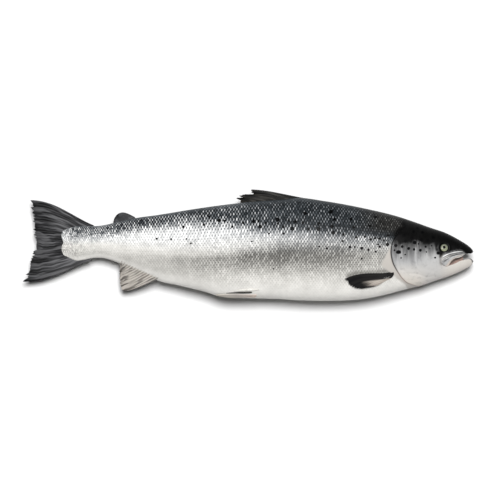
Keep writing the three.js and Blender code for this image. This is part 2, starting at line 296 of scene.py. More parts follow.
headForm = {
    "gillEdge": curve([  # place of the gill cover's hind edge at each height
        (-80, 80), (-68, 92), (-65.3, 96.7), (-62.9, 104.6), (-59, 114.4), (-52.2, 122.2), (-44.4, 128),
        (-36.6, 132.9), (-26.9, 137.9), (-16.2, 140.8), (-7.3, 141.8), (1.5, 140.8), (11.2, 137.9),
        (20, 131.9), (27.9, 124), (34, 120), (42, 119), (60, 121)]),
    "gillRise": 2.6,
    "gillRiseFrom": 80,
    "gillTop": (33, 22),  # between these heights the fold runs out, and between the next it gets shallow
    "gillThroat": (-84, -62),
    "gillThroatShare": 0.35,
    "gillPull": (55, 235),  # skin between these places is drawn along to meet the gill cover's edge
    # the fold at the hind edge, as (how far behind the edge, how far off the skin)
    "gillFold": [(-0.5, 2.6), (0.0, 2.3), (0.2, 1.4), (-1.0, 0.7), (-2.2, -0.4), (-0.9, -1.0), (0.7, -0.5),
                 (2.2, 0.0)],
    "foldEven": (-0.5, 0.3),  # where the fold has run out, its rows start here and are this far apart
    "cheekEdge": curve([
        (-50, 68), (-46, 83), (-37.6, 94.9), (-27.9, 99.8), (-8.3, 100.6), (8.5, 99.5), (16, 97)]),
    "cheekRise": 0.9,
    "cheekEnds": ((-32, -3), (2.4, -2.0)),  # over which places behind the edge it rises and falls
    "cheekHeights": ((-48, -36), (6, -6)),
    "grooves": [  # lines of the lower gill cover and the throat, as (points, width, depth)
        ([(124.3, -37.1), (112, -43.4), (94.5, -45.4), (80, -50.5), (66.6, -48.5)], 1.6, 0.7),
        ([(106.6, -24), (110, -31), (116.3, -38)], 1.3, 0.35),
        ([(99, -30), (88, -36), (70, -40)], 2.2, 0.3),
    ],
    "eye": (51.4, -0.3),
    "socketRadius": 8.0, "socketDepth": 2.6, "socketRim": 0.7,
    "nostrilDepth": 1.3, "nostrilRim": 0.35,
    "nostrils": [((24.4, -0.4), 1.7), ((28.2, -2.8), 1.4)],
}


def gillStrength(height):  # how fully the fold at the gill cover's edge stands out
    low = headForm["gillThroatShare"]
    return smooth(height, *headForm["gillTop"]) * (low + (1 - low) * smooth(height, *headForm["gillThroat"]))


def headRelief(behind, height):  # how far the skin of the head stands off the plain form
    form = headForm
    past = behind - form["cheekEdge"](height)
    relief = form["cheekRise"] * np.ones(behind.shape)
    for value, slopes in ((past, form["cheekEnds"]), (height, form["cheekHeights"])):
        for start, end in slopes:
            relief = relief * smooth(value, start, end)
    for points, width, deep in form["grooves"]:
        relief = relief - deep * hill(nearLine(behind, height, points), 0, width)
    radius = form["socketRadius"]
    away = np.hypot(behind - form["eye"][0], height - form["eye"][1])
    relief = relief - form["socketDepth"] * smooth(away, radius, radius - 3.5)
    relief = relief + form["socketRim"] * hill(away, radius + 1.4, 1.6)
    for (at, up), radius in form["nostrils"]:
        away = np.hypot(behind - at, height - up)
        relief = relief - form["nostrilDepth"] * smooth(away, radius, radius * 0.3)
        relief = relief + form["nostrilRim"] * hill(away, radius * 1.3, 0.7)
    return relief


bodyMesh = {
    "around": 200, "snoutRings": 26, "snoutEnd": 20, "headStep": 0.95, "headEnd": 140.2,
    "foldStart": 141.4, "foldStep": 0.25, "trunkStart": 145.5, "trunkStep": 2.35,
    "tailStart": 625.5, "tailRings": 48,
}
unevenness = {
    "height": 0.5, "seed": 5, "waves": 14, "turnsPerMm": (0.012, 0.06),
    "fadeIn": (130, 200), "fadeOut": (690, 620),
}


def ringPlan():  # for each ring: its place along the fish, and its row in the fold or -1
    mesh = bodyMesh
    places = [mesh["snoutEnd"] * (i / mesh["snoutRings"]) ** 1.5 for i in range(mesh["snoutRings"])]
    places += list(np.arange(mesh["snoutEnd"], mesh["headEnd"], mesh["headStep"]))
    plan = [(place, -1) for place in places]
    plan += [(mesh["foldStart"] + mesh["foldStep"] * row, row) for row in range(len(headForm["gillFold"]))]
    places = list(np.arange(mesh["trunkStart"], mesh["tailStart"] - 0.5, mesh["trunkStep"]))
    bend = np.linspace(0, math.pi / 2, mesh["tailRings"])
    places += list(mesh["tailStart"] + (bodyForm["fleshEnd"] - mesh["tailStart"]) * np.sin(bend))
    plan += [(place, -1) for place in places]
    return plan


def unevenSkin(behind, angle):  # soft shallow dents, so that the flank isn't a perfect curve
    form = unevenness
    draw = random.Random(form["seed"])
    total = np.zeros(behind.shape)
    for wave in range(form["waves"]):
        long = draw.uniform(*form["turnsPerMm"])
        turns = draw.choice([1, 2, 3, 4, 5])
        start, shift = draw.uniform(0, 6.28), draw.uniform(0, 6.28)
        total += np.sin(behind * long + start + turns * angle) * np.sin(turns * angle + shift)
    total *= form["height"] / form["waves"] ** 0.5
    return total * smooth(behind, *form["fadeIn"]) * smooth(behind, *form["fadeOut"])


def makeBody():
    form, head = bodyForm, headForm
    headLength, (foldStart, foldStep) = form["headLength"], head["foldEven"]
    plan = ringPlan()
    rings, around = len(plan) + 1, bodyMesh["around"]
    piece, ring, column = polarPiece("fishBody", rings, around)
    angles = 2 * math.pi * np.arange(around) / around
    nominal = np.array([place for place, row in plan])[:, None] * np.ones(around)
    rowOf = np.array([row for place, row in plan])

    # the rings near the gill opening are drawn forward until one of them lies along its edge
    edge = np.full(around, float(headLength))
    for attempt in range(30):
        edge = 0.5 * edge + 0.5 * head["gillEdge"](skinHeight(edge, angles))
    strength = gillStrength(skinHeight(edge, angles))
    pullFrom, pullTo = head["gillPull"]
    pull = smooth(nominal, pullFrom, headLength) * smooth(nominal, pullTo, headLength)
    behind = nominal + (edge - headLength) * pull
    swell = head["gillRise"] * smooth(nominal, head["gillRiseFrom"], headLength) * strength
    swell = np.where(nominal > headLength, 0, swell)
    for i in np.nonzero(rowOf >= 0)[0]:
        back, off = head["gillFold"][rowOf[i]]
        even = foldStart + foldStep * rowOf[i]
        behind[i] = edge + even + (back - even) * strength
        swell[i] = off * strength
    height = skinHeight(behind, angles)
    swell = swell + headRelief(behind, height) * (nominal < headLength)
    swell = swell + unevenSkin(behind, angles)

    height = skinHeight(behind, angles, swell)
    depth = np.maximum(skinDepth(behind, angles, swell), 0)
    points = toWorld(behind + lobeShift(behind, height), height, depth)
    ends = []
    for place, out in ((0.0, -form["snoutTip"]), (form["fleshEnd"], 0.0)):
        up = (form["back"](place) + form["belly"](place)) / 2
        shifted = place + out + (lobe(up) if place > 0 else 0)
        ends.append(toWorld(np.array(shifted), np.array(up), form["middle"](place)))
    placed = np.zeros((len(piece.data.vertices), 3))
    placed[ring == 0] = ends[0]
    placed[ring == rings] = ends[1]
    inner = (ring > 0) & (ring < rings)
    placed[inner] = points[ring[inner] - 1, column[inner]]
    writePoints(piece, placed)
    editWhole(piece, facesOutward)
    return piece


body = makeBody()
print("body:", len(body.data.vertices), "points")

mouthForm = {
    # a wedge between the lips in front, and a slit that turns down to the corner of the mouth
    "outline": [
        (-12, -5), (-3, -5), (0.6, -5.6), (1.9, -7.8), (4.2, -9.7), (13, -10.4), (17.5, -12.6), (22, -15.6),
        (27, -17.2), (32, -18.4), (37, -21.4), (41.5, -26), (45, -29.8), (48, -32.8), (43, -30.6),
        (36, -28.4), (30.6, -26), (25, -23.2), (18, -21.2), (12, -20), (7.6, -18.6), (4.4, -19.4),
        (2.4, -22), (-3, -24.5), (-12, -25), (-12, -5)],
    "points": 110,
    "frontTo": 19,  # the wedge goes right through the head up to here
    "sideTo": 60,  # and past it the slit is cut from both flanks, with flesh left between
    "fleshHalf": 5,
    "depths": (-30, 110),
}


def mouthCutter(name, lowDepth, highDepth, reachesTo):
    shares = np.linspace(0, 1, mouthForm["points"], endpoint=False)
    outline = curveThrough(mouthForm["outline"])(shares)
    behind, height = outline[outline[:, 0] < reachesTo].T
    clearSelection()
    bpy.ops.mesh.primitive_circle_add(vertices=len(behind), radius=1, fill_type="NGON")
    piece = newPiece(name)
    writePoints(piece, toWorld(behind, height, np.full(len(behind), float(lowDepth))))
    rise = (highDepth - lowDepth) * mm
    lift = {"value": (0, 0, rise)}
    editWhole(
        piece,
        lambda: bpy.ops.mesh.extrude_region_move(TRANSFORM_OT_translate=lift),
        lambda: bpy.ops.mesh.select_all(action="SELECT"),
        facesOutward,
    )
    return piece


def cutMouth():
    form = mouthForm
    middle = float(bodyForm["middle"](30))
    lowest, highest = form["depths"]
    cuts = [
        ("rightCut", middle + form["fleshHalf"], highest, form["sideTo"]),
        ("leftCut", lowest, middle - form["fleshHalf"], form["sideTo"]),
        ("frontCut", lowest, highest, form["frontTo"]),
    ]
    for name, low, high, reach in cuts:
        cutter = mouthCutter(name, low, high, reach)
        giveFinish(cutter, None, None)
        for face in cutter.data.polygons:
            face.material_index = 1
        applyModifier(body, "BOOLEAN", operation="DIFFERENCE", object=cutter, solver="MANIFOLD")
        bpy.data.objects.remove(cutter)


giveFinish(body, None, None)  # a slot for the skin, and one for the mouth's lining
cutMouth()
smoothShading(body, 48)
print("mouth cut:", len(body.data.polygons), "faces")

# what the finishes read at each point of the body is worked out from these
scaleForm = {
    # of the shown part of a scale, along the fish, and across it over the lateral line and under it
    "length": curve([
        (0, 4), (150, 4.3), (200, 4.7), (260, 5.1), (400, 5.2), (500, 5.1), (550, 4.8), (600, 4.4),
        (660, 3.8), (703, 3.4)]),
    "above": curve([(0, 7), (200, 9.2), (320, 10.4), (500, 10), (580, 8.6), (640, 7), (703, 5.4)]),
    "below": curve([(0, 6), (200, 7.2), (320, 7.8), (500, 7.2), (580, 6.4), (640, 5.6), (703, 4.8)]),
}
colourForm = {
    # how light the skin is, from 0 for black to 1 for white: by the back's ridge, by the lateral line and
    # along the belly, how much painted light brightens the belly's very edge, and between which shares of the
    # way from the line to the ridge it gets darker
    "ridgeShine": curve([
        (130, 0.12), (155, 0.13), (200, 0.18), (250, 0.185), (300, 0.205), (360, 0.24), (390, 0.26),
        (420, 0.31), (450, 0.27), (480, 0.27), (510, 0.3), (540, 0.36), (570, 0.3), (600, 0.32),
        (630, 0.44), (660, 0.4), (680, 0.4), (690, 0.56), (703, 0.72)]),
    "lineShine": curve([
        (130, 0.63), (155, 0.65), (180, 0.65), (200, 0.6), (225, 0.56), (250, 0.56), (300, 0.56), (330, 0.62),
        (360, 0.76), (390, 0.78), (420, 0.8), (450, 0.82), (510, 0.85), (570, 0.87), (630, 0.86), (680, 0.8),
        (703, 0.8)]),
    "bellyShine": curve([
        (130, 0.84), (250, 0.86), (360, 0.87), (400, 0.85), (450, 0.83), (520, 0.83), (580, 0.82),
        (703, 0.76)]),
    "bellyFrom": (-0.28, -0.8),  # between these shares of the way down it takes on the belly's lightness
    # painted light at the belly's very edge: between these shares of the way down, and how strong it is
    "bellyEdgeLightFrom": (-0.7, -0.95),
    "bellyEdgeLight": curve([(130, 0.05), (400, 0.04), (470, 0.08), (540, 0.14), (600, 0.15), (703, 0.1)]),
    "darkFrom": curve([
        (130, -0.15), (155, -0.15), (200, -0.15), (250, -0.12), (300, 0.0), (330, -0.05), (360, -0.08),
        (390, -0.05), (420, 0.1), (450, 0.14), (480, 0.18), (510, 0.22), (540, 0.22), (570, 0.2), (600, 0.15),
        (630, 0.02), (660, 0.0), (680, -0.15), (703, -0.2)]),
    "darkTo": curve([
        (130, 0.15), (155, 0.15), (200, 0.26), (250, 0.28), (300, 0.32), (330, 0.36), (360, 0.44), (390, 0.6),
        (420, 0.68), (450, 0.72), (480, 0.9), (510, 0.82), (540, 0.72), (570, 0.74), (600, 0.66), (630, 0.56),
        (703, 0.65)]),
    # painted sheen, a lighter band high on the back: how much, at which share of the way up, its width, and
    # where it starts
    "backSheen": 0.05, "backSheenAt": (0.48, 0.2), "backSheenFrom": (190, 260),
    # painted dark reflection, a grey band along the lower flank: its height, how dark it is, and how far it
    # reaches up and down
    "reflectionBandHeight": curve([
        (142, 2), (212, -4), (250, -8), (300, -8), (330, -11), (360, -12), (390, -15), (420, -19), (450, -22),
        (500, -22), (540, -21), (570, -18), (620, -12), (703, -8)]),
    "reflectionBandDepth": curve([
        (142, 0.0), (200, 0.04), (250, 0.08), (300, 0.11), (330, 0.19), (360, 0.26), (390, 0.3), (415, 0.21),
        (450, 0.2), (480, 0.21), (510, 0.17), (540, 0.12), (570, 0.08), (620, 0.03), (703, 0.02)]),
    "reflectionBandReach": (11, 25),
    # how strongly the scales show over the lateral line and under it, most of all on middling grey skin,
    # and where they fade: at the ridge and at the belly's edge
    "netMost": 2.3, "netWhite": 1.02, "netTurn": (-0.3, 0.08),
    "netRidge": (0.97, 0.86), "netRidgeShare": 0.3, "netEdge": (-0.95, -0.6), "netEdgeShare": 0.15,
    "netAbove": curve([(130, 1.1), (400, 1.15), (460, 1.3), (600, 1.3), (640, 1.1), (703, 1.3)]),
    "netBelow": curve([
        (130, 0.55), (300, 0.5), (430, 0.5), (480, 0.35), (560, 0.28), (630, 0.3), (670, 0.6), (703, 0.9)]),
    # dark spots of the flank, as (behind, height, radius)
    "spots": [
        (494, 35, 2.4), (459, 38.6, 2.2), (449.5, 52, 2.1), (433, 46, 2.9), (424, 45, 2.2), (411, 35.4, 2.1),
        (392.7, 42, 2.1), (375, 44.2, 2.9), (366.6, 45, 2.3), (363.8, 35.4, 3.1), (354.8, 41.5, 2.3),
        (334.4, 47.3, 3.7), (333.7, 40.5, 2.1), (324.5, 35, 2.4), (315.4, 45.7, 2.3), (304.6, 43.2, 3.1),
        (309, 31.8, 3.2), (291.4, 42, 2.6), (287.6, 58, 3.0), (281.9, 31.3, 2.7), (265, 40.5, 2.7),
        (265.5, 31.3, 3.2), (243.6, 61, 3.2), (237.5, 47.8, 2.8), (242.3, 35.4, 3.1), (240, 25.2, 3.0),
        (250.8, -1.5, 2.2), (264, 1.7, 2.0), (324, 23.5, 2.2), (349, 23.5, 1.9), (377.8, 10.4, 1.7),
        (341.4, -36.2, 1.6), (481.3, 7.1, 1.8), (488.8, 14.5, 1.7), (223, 22.4, 2.4), (205.4, 34.2, 2.3),
        (201, 17.5, 2.4), (186.5, 18.5, 2.1), (176.6, 13.6, 2.4), (169.5, 16, 2.4), (161.3, 15.6, 2.5),
        (154.4, 12.1, 2.2), (147, 20.4, 2.4), (211.9, 0.9, 2.4), (203.5, 0.9, 1.9), (191.8, -1.2, 2.6),
        (180.4, -4.1, 2.2), (168.1, -7, 1.9), (161.3, 1.4, 2.3), (164.2, 5.4, 1.8), (148.2, 5.1, 2.9),
        (224, 10.7, 2.1), (191.8, -18.7, 1.8), (178, 36.2, 2.4), (210, 48, 2.6), (168, 52, 2.2),
        (539.3, 15.1, 1.9), (515, 14.1, 2.0), (551, 3.4, 1.2)],
    # painted shade in the slit over the root of the pelvic fin, as a line and its half width
    "slit": [(378, -76.2), (390, -76.4), (402, -76.8), (412, -77.1), (422, -77.5)],
    "slitShadeWidth": curve([(374, 0.5), (380, 1.7), (394, 2.0), (404, 1.4), (414, 0.9), (426, 0.3)]),
}


def girthTable():  # arc length from the back's ridge down one flank, for places and angles
    places = np.linspace(0, bodyForm["fleshEnd"], 300)
    angles = np.linspace(0, math.pi, 161)
    place, angle = np.meshgrid(places, angles, indexing="ij")
    up, out = skinHeight(place, angle), skinDepth(place, angle)
    step = np.hypot(np.diff(up, axis=1), np.diff(out, axis=1))
    return np.concatenate([np.zeros((len(places), 1)), np.cumsum(step, axis=1)], axis=1)


def lookUp(table, place, angle):
    row = np.clip(place / bodyForm["fleshEnd"], 0, 0.99999) * (table.shape[0] - 1)
    column = np.clip(angle / math.pi, 0, 0.99999) * (table.shape[1] - 1)
    i, j = row.astype(int), column.astype(int)
    p, q = row - i, column - j
    near = table[i, j] * (1 - q) + table[i, j + 1] * q
    far = table[i + 1, j] * (1 - q) + table[i + 1, j + 1] * q
    return near * (1 - p) + far * p


headMarks = {
    "crown": [  # the dark top of the head, down to the jaw and round the eye
        (136, 24), (137, 10.5), (130, 8.2), (118, 8.8), (107, 9.6), (97, 12.4), (88, 8.4), (80, 5.6),
        (72, 8.4), (67, 5), (65.5, -2.4), (62.5, -9), (60.3, -14), (58.8, -24), (57.6, -28.5), (56, -27),
        (57.2, -17), (51, -10.8), (42, -8), (35.4, -6.6), (28.5, -5), (22, -5.2), (18, -8), (15.5, -12),
        (10, -13), (-6, -13), (-6, 60), (112, 90), (121, 60), (122, 36)],
    "chin": [(8.6, -18.2), (5.4, -19), (2.8, -21.8), (2.6, -24)],
    "shoulder": [  # smooth cream skin behind the gill cover
        (126, 0), (142.5, 1), (147, -6), (151, -14), (155.5, -22), (158, -28), (156, -33), (150, -37),
        (141, -44), (132, -53), (118, -63), (100, -90), (80, -80), (110, -40), (128, -10)],
    "finShade": [(148, -40), (168, -42.6), (197, -43.6), (214, -48.5)],  # painted shadow of the breast fin on the skin along it
    "finRoot": [(141, -44), (147, -46.3), (155, -47)],  # black skin at the breast fin's root
    "spots": [  # (behind, height, radius, stretch along the fish)
        (134, 3.4, 2.7, 1.0), (123.1, 1.5, 2.2, 1.0), (136.3, -4.4, 1.6, 1.0), (129.5, -7.8, 2.9, 1.45),
        (112.2, -1.7, 2.5, 1.0), (102.9, -3.2, 2.1, 1.0), (92.1, -4.6, 2.3, 1.0), (101.8, 8.3, 2.9, 1.1),
        (95.4, 6.3, 1.6, 0.7), (83.1, 1.5, 1.8, 1.0), (81.9, -7.5, 1.3, 1.0), (125.1, -17.5, 1.4, 1.0),
        (117.5, 10.7, 2.4, 1.0), (107.1, 16.2, 2.6, 1.0), (103.7, 26.9, 2.3, 1.0), (88.6, 25.8, 2.2, 1.0),
        (96.7, 33.2, 2.0, 1.0), (120.2, 20, 2.5, 1.2), (89.9, 13.1, 2.9, 1.0), (79.7, 11.2, 2.9, 1.2),
        (70, 17, 2.4, 1.0), (61.7, -9.4, 2.4, 1.2), (67, -17.2, 1.5, 1.2), (73, 3, 1.2, 1.0),
        (118, -12, 1.2, 1.3), (76, -2, 0.9, 1.0)],
}


def skinShine(behind, height, tone):  # how light the skin is, and how much its scales stand out
    colour = colourForm
    darkFrom, darkTo = colour["darkFrom"](behind), colour["darkTo"](behind)
    line, belly, ridge = [colour[name](behind) for name in ("lineShine", "bellyShine", "ridgeShine")]
    up = np.clip((tone - darkFrom) / (darkTo - darkFrom), 0, 1)
    up = 0.5 * up + 0.5 * up * up * (3 - 2 * up)
    shine = line + (ridge - line) * up + (belly - line) * smooth(tone, *colour["bellyFrom"])
    # painted light at the belly's very edge, where the real light falls off
    shine = shine + colour["bellyEdgeLight"](behind) * smooth(tone, *colour["bellyEdgeLightFrom"])
    # a painted sheen high on the back
    onBack = hill(tone, *colour["backSheenAt"]) * smooth(behind, *colour["backSheenFrom"])
    shine = shine + colour["backSheen"] * onBack
    # the painted dark reflection along the lower flank
    off = height - colour["reflectionBandHeight"](behind)
    shine = shine - colour["reflectionBandDepth"](behind) * hill(off, 0, np.where(off > 0, *colour["reflectionBandReach"]))
    contrast = colour["netMost"] * shine * (colour["netWhite"] - shine)
    atEdge, atRidge = colour["netEdgeShare"], colour["netRidgeShare"]
    below = colour["netBelow"](behind) * (atEdge + (1 - atEdge) * smooth(tone, *colour["netEdge"]))
    above = colour["netAbove"](behind) * (atRidge + (1 - atRidge) * smooth(tone, *colour["netRidge"]))
    contrast = contrast * (below + (above - below) * smooth(tone, *colour["netTurn"]))
    return shine, contrast


def bodyFields():
    form, colour = bodyForm, colourForm
    points = readPoints(body) / mm
    behind = snoutX / mm - points[:, 0]
    height = points[:, 1] - axisY / mm
    depth = points[:, 2]
    flat = behind  # the place before the flesh was drawn on to the tail fin
    for attempt in range(3):
        flat = behind - lobeShift(flat, height)
    flat = np.clip(flat, 0, form["fleshEnd"])
    angle = angleOf(flat, height, depth)
    line = form["lateralLine"](flat)
    table = girthTable()
    lineAngle = angleOf(flat, line, form["middle"](flat) + flankThick(flat, line))
    arc = lookUp(table, flat, angle) - lookUp(table, flat, lineAngle)
    places = np.linspace(0, form["fleshEnd"], 300)
    pitch = scaleForm["length"](places)
    steps = np.concatenate([[0], np.cumsum(np.diff(places) / ((pitch[1:] + pitch[:-1]) / 2))])
    width = np.where(arc < 0, scaleForm["above"](flat), scaleForm["below"](flat))
    up, down = form["back"](flat) - line, line - form["belly"](flat)
    tone = np.clip(np.where(height > line, (height - line) / up, (height - line) / down), -1, 1)

    pastGill = behind - headForm["gillEdge"](height)
    shine, contrast = skinShine(flat, height, tone)
    far = 9.0  # no finish looks further than this
    spot = np.full(behind.shape, far)
    for at, level, radius, stretch in headMarks["spots"]:
        away = np.hypot((behind - at) / stretch, height - level) / radius
        spot = np.minimum(spot, np.where(pastGill < 1, away, far))
    for at, level, radius in colour["spots"]:
        spot = np.minimum(spot, np.hypot(behind - at, height - level) / radius)
    slit = nearLine(behind, height, colour["slit"]) / colour["slitShadeWidth"](behind)
    fields = {
        "along": np.interp(flat, places, steps),
        "rows": arc / width,
        "tone": tone,
        "behind": flat / 100,
        "height": height / 100,
        "shine": shine,
        "contrast": contrast,
        "spot": spot,
        "slit": np.minimum(slit, far),
        "pastGill": pastGill,
        "pastCheek": behind - headForm["cheekEdge"](height),
        "gillLine": gillStrength(height),
    }
    for name, limit in (("chin", far), ("finShade", 20.0), ("finRoot", 20.0)):
        fields[name] = np.minimum(nearLine(behind, height, headMarks[name]), limit)
    for name in ("crown", "shoulder"):
        fields[name] = insideOutline(behind, height, headMarks[name])
    for name, values in fields.items():
        giveField(body, name, values)
    return list(fields)


skinFields = bodyFields()
print("fields written:", len(skinFields))

# thin bones and lips that lie on the skin, each on both flanks
bladeForms = {
    "jawBone": {
        "spine": [(15, -10.4), (22, -11.9), (29, -13.4), (36, -16), (42, -19.4), (47.5, -24.2), (52.6, -31)],
        "halfWidth": curve([
            (0, 0.3), (0.2, 1.7), (0.45, 3.2), (0.7, 5.2), (0.88, 6.6), (0.96, 4.8), (1, 0.6)]),
        "thick": 1.7, "off": 0.9,
    },
    "lipBand": {
        "spine": [(19, -6.8), (26, -7.4), (31, -8), (38, -9.4), (44, -11.2), (50, -14), (55.4, -17.8)],
        "halfWidth": curve([(0, 0.3), (0.2, 1.1), (0.5, 1.3), (0.85, 1.3), (1, 0.3)]),
        "thick": 1.6, "off": 1.3,
    },
    "pelvicScale": {
        "spine": [(366, -71.6), (375, -72), (386, -72.6), (398, -73.4), (408, -74.6)],
        "halfWidth": curve([(0, 1.0), (0.3, 2.2), (0.7, 1.7), (1, 0.2)]),
        "thick": 1.6, "off": 0.6,
    },
}


def makeBlade(name, form, side, rings=40, around=16):
    piece, ring, column = polarPiece(name, rings, around)
    share = ring / rings
    angle = 2 * math.pi * column / around
    spine = curveThrough(form["spine"])
    centre = spine(share)
    ahead = spine(np.clip(share + 0.01, 0, 1)) - spine(np.clip(share - 0.01, 0, 1))
    ahead /= np.linalg.norm(ahead, axis=1)[:, None]
    across = np.stack([ahead[:, 1], -ahead[:, 0]], axis=1)
    full = np.where((ring > 0) & (ring < rings), 1.0, 0.0)
    place = centre + across * (form["halfWidth"](share) * np.cos(angle) * full)[:, None]
    taper = np.clip(np.sin(share * math.pi), 0, 1) ** 0.4 * full
    lift = form["off"] * taper + form["thick"] * np.sin(angle) * taper * side
    depth = onFlank(place[:, 0], place[:, 1], side, lift)
    writePoints(piece, toWorld(place[:, 0], place[:, 1], np.maximum(depth, 2 * offTable)))
    giveField(piece, "across", np.cos(angle) * full)
    giveField(piece, "share", share)
    editWhole(piece, facesOutward)
    smoothShading(piece, 60)
    return piece


blades = {}
for bladeName, bladeForm in bladeForms.items():
    for side, sideName in flanks:
        blades[bladeName + sideName] = makeBlade(bladeName + sideName, bladeForm, side)
print("blades:", len(blades))

eyeForm = {"radius": 6.9, "bulge": 3.1, "sunk": -0.6, "iris": 6.0, "pupil": 2.7, "pupilShift": (0.2, 0.9)}


def makeEye(name, side, rings=40, around=48):
    piece, ring, column = polarPiece(name, rings, around)
    points = readPoints(piece)
    behind, height = headForm["eye"]
    radius = eyeForm["radius"]
    step = 2.0  # the skin's slope is measured this far round the eye
    slopeAlong = (onFlank(behind + step, height, side) - onFlank(behind - step, height, side)) / (2 * step)
    slopeUp = (onFlank(behind, height + step, side) - onFlank(behind, height - step, side)) / (2 * step)
    across, up = points[:, 0] * radius, points[:, 1] * radius
    out = points[:, 2] * eyeForm["bulge"] + eyeForm["sunk"]
    depth = onFlank(behind, height, side) + across * slopeAlong + up * slopeUp + side * out
    writePoints(piece, toWorld(behind + across, height + up, depth))
    giveField(piece, "fromCentre", np.hypot(across, up))
    shiftX, shiftY = eyeForm["pupilShift"]
    giveField(piece, "fromPupil", np.hypot(across - shiftX, up - shiftY))
    giveField(piece, "eyeUp", up / radius)
    editWhole(piece, facesOutward)
    smoothShading(piece, 60)
    return piece


eyes = [makeEye("eye" + sideName, side) for side, sideName in flanks]
print("eyes:", len(eyes))

# fins: fans of rays with thin skin between them
finForms = {
    "tailFin": {
        "root": [(646, 37.5), (668, 22), (676, 8), (668, -8), (650, -21.5)],
        "edge": [
            (754.5, 80.6), (755, 72), (753.5, 60), (752, 46), (750.5, 31), (748.5, 14), (748, 0), (752, -10),
            (757.5, -25), (763, -42), (768, -58)],
        "bow": (-7, 7), "rays": 30, "rows": 44, "fray": 0.06, "tear": 0.02,
        "thickRoot": 5.0, "thickEdge": 1.0, "thinning": 0.5, "sag": 0.0, "seed": 3,
    },
    "dorsalFin": {
        "root": [(288, 84), (322, 78), (362, 74), (390, 71)],
        "edge": [
            (379, 98.8), (382, 95.4), (377, 91.6), (397, 89.6), (400, 87.4), (395, 85.6), (405, 84),
            (396.5, 79.8), (398, 77)],
        "bow": (-1.8, 0), "rays": 14, "rows": 34, "fray": 0.03, "tear": 0.03,
        "thickRoot": 4.6, "thickEdge": 0.9, "thinning": 0.5, "sag": 0.05, "seed": 11,
    },
    "adiposeFin": {
        "root": [(573, 46), (586, 43), (599, 40), (613, 36)],
        "edge": [(577, 52), (590, 58.2), (598, 59.8), (606, 57), (611.5, 50), (613.6, 41)],
        "bow": (0, 0), "rays": 0, "rows": 20, "fray": 0, "tear": 0,
        "thickRoot": 5.6, "thickEdge": 1.6, "thinning": 0.5, "sag": 0.05, "seed": 5,
    },
    "analFin": {
        "root": [(534, -52), (556, -42), (580, -31), (600, -22)],
        "edge": [
            (591, -73.5), (599.5, -73.6), (602, -66), (603.4, -56), (604, -49), (603, -38), (602.5, -27)],
        "bow": (1.2, 0), "rays": 14, "rows": 30, "fray": 0.05, "tear": 0.03,
        "thickRoot": 22.0, "thickEdge": 1.0, "thinning": 0.75, "sag": 0.12, "seed": 7,
    },
    "pectoralFin": {
        "root": [(137.5, -41.6), (137.5, -45), (139.5, -48.6), (143.5, -52.4)],
        "edge": [(221, -53.4), (215.7, -60.7), (208, -66.5), (200, -69.6), (189, -69.6), (175, -66.5)],
        "bow": (-4.6, 2.0), "rays": 13, "rows": 34, "fray": 0.04, "tear": 0.03,
        "thickRoot": 4.2, "thickEdge": 1.0, "thinning": 0.5, "lift": 4.2, "seed": 13,
    },
    "pelvicFin": {
        "root": [(370, -79), (370, -80.4), (371, -82), (372, -83.6)],
        "edge": [(440.5, -80.4), (440, -81.6), (434, -83.2), (426, -84.4), (417, -85.4)],
        "bow": (-0.8, 0.3), "rays": 9, "rows": 26, "fray": 0.04, "tear": 0.03,
        "thickRoot": 3.8, "thickEdge": 1.0, "thinning": 0.5, "lift": 3.0, "seed": 17,
    },
}
finMesh = {"perRay": 4, "plain": 32}  # columns of faces to a ray, or of a fin that shows no rays
# shares of the thickness, and shares of the width and the length over which it changes
finSection = {"web": 0.72, "ray": 0.4, "lip": 0.55, "lipLength": 0.06, "sideWidth": 0.03, "frayFrom": 0.72}
finSunk = 1.4  # how deep the root of a paired fin is in the flank


def makeFin(name, form, middleAt):
    draw = random.Random(form["seed"])
    rays, section = form["rays"], finSection
    columns = rays * finMesh["perRay"] if rays else finMesh["plain"]
    clearSelection()
    bpy.ops.mesh.primitive_grid_add(x_subdivisions=columns, y_subdivisions=form["rows"], size=2)
    piece = newPiece(name)
    points = readPoints(piece)
    share = (points[:, 0] + 1) / 2
    out = (points[:, 1] + 1) / 2
    # each ray ends at its own length, and the skin between two rays is torn back
    ends = np.array([draw.uniform(0, 1) for i in range(rays * 2 + 3)]) if rays else np.zeros(3)
    beat = share * rays * 2
    whole = np.minimum(beat.astype(int), len(ends) - 2)
    part = beat - whole
    uneven = ends[whole] * (1 - part) + ends[whole + 1] * part
    ridge = 0.5 - 0.5 * np.cos(2 * math.pi * share * rays) if rays else np.ones(share.shape)
    loss = form["fray"] * uneven + form["tear"] * (1 - ridge)
    side = section["sideWidth"]
    loss *= smooth(share, 0, side) * smooth(share, 1, 1 - side) if rays else 1
    reach = out * (1 - loss * smooth(out, section["frayFrom"], 1))
    start, end = curveThrough(form["root"])(share), curveThrough(form["edge"])(share)
    direction = end - start
    sideways = np.stack([direction[:, 1], -direction[:, 0]], axis=1)
    sideways /= np.linalg.norm(sideways, axis=1)[:, None]
    mostBend = 4 / 27  # of out * out * (1 - out)
    bend = (form["bow"][0] * (1 - share) + form["bow"][1] * share) * out * out * (1 - out) / mostBend
    place = start + direction * reach[:, None] + sideways * bend[:, None]
    thick = form["thickRoot"] + (form["thickEdge"] - form["thickRoot"]) * reach ** form["thinning"]
    thick *= section["web"] + section["ray"] * ridge if rays else 1
    thick *= section["lip"] + (1 - section["lip"]) * smooth(1 - out, 0, section["lipLength"])
    depth = np.maximum(middleAt(place[:, 0], place[:, 1], reach), thick / 2 + offTable)
    writePoints(piece, toWorld(place[:, 0], place[:, 1], depth))
    thickest = float(thick.max())
    group = piece.vertex_groups.new(name="thick")
    for i, value in enumerate(thick / thickest):
        group.add([i], float(value), "REPLACE")
    applyModifier(piece, "SOLIDIFY", thickness=thickest * mm, offset=0, vertex_group="thick", use_rim=True)
    piece.vertex_groups.clear()
    editWhole(piece, facesOutward)
    smoothShading(piece, 70)
    return piece


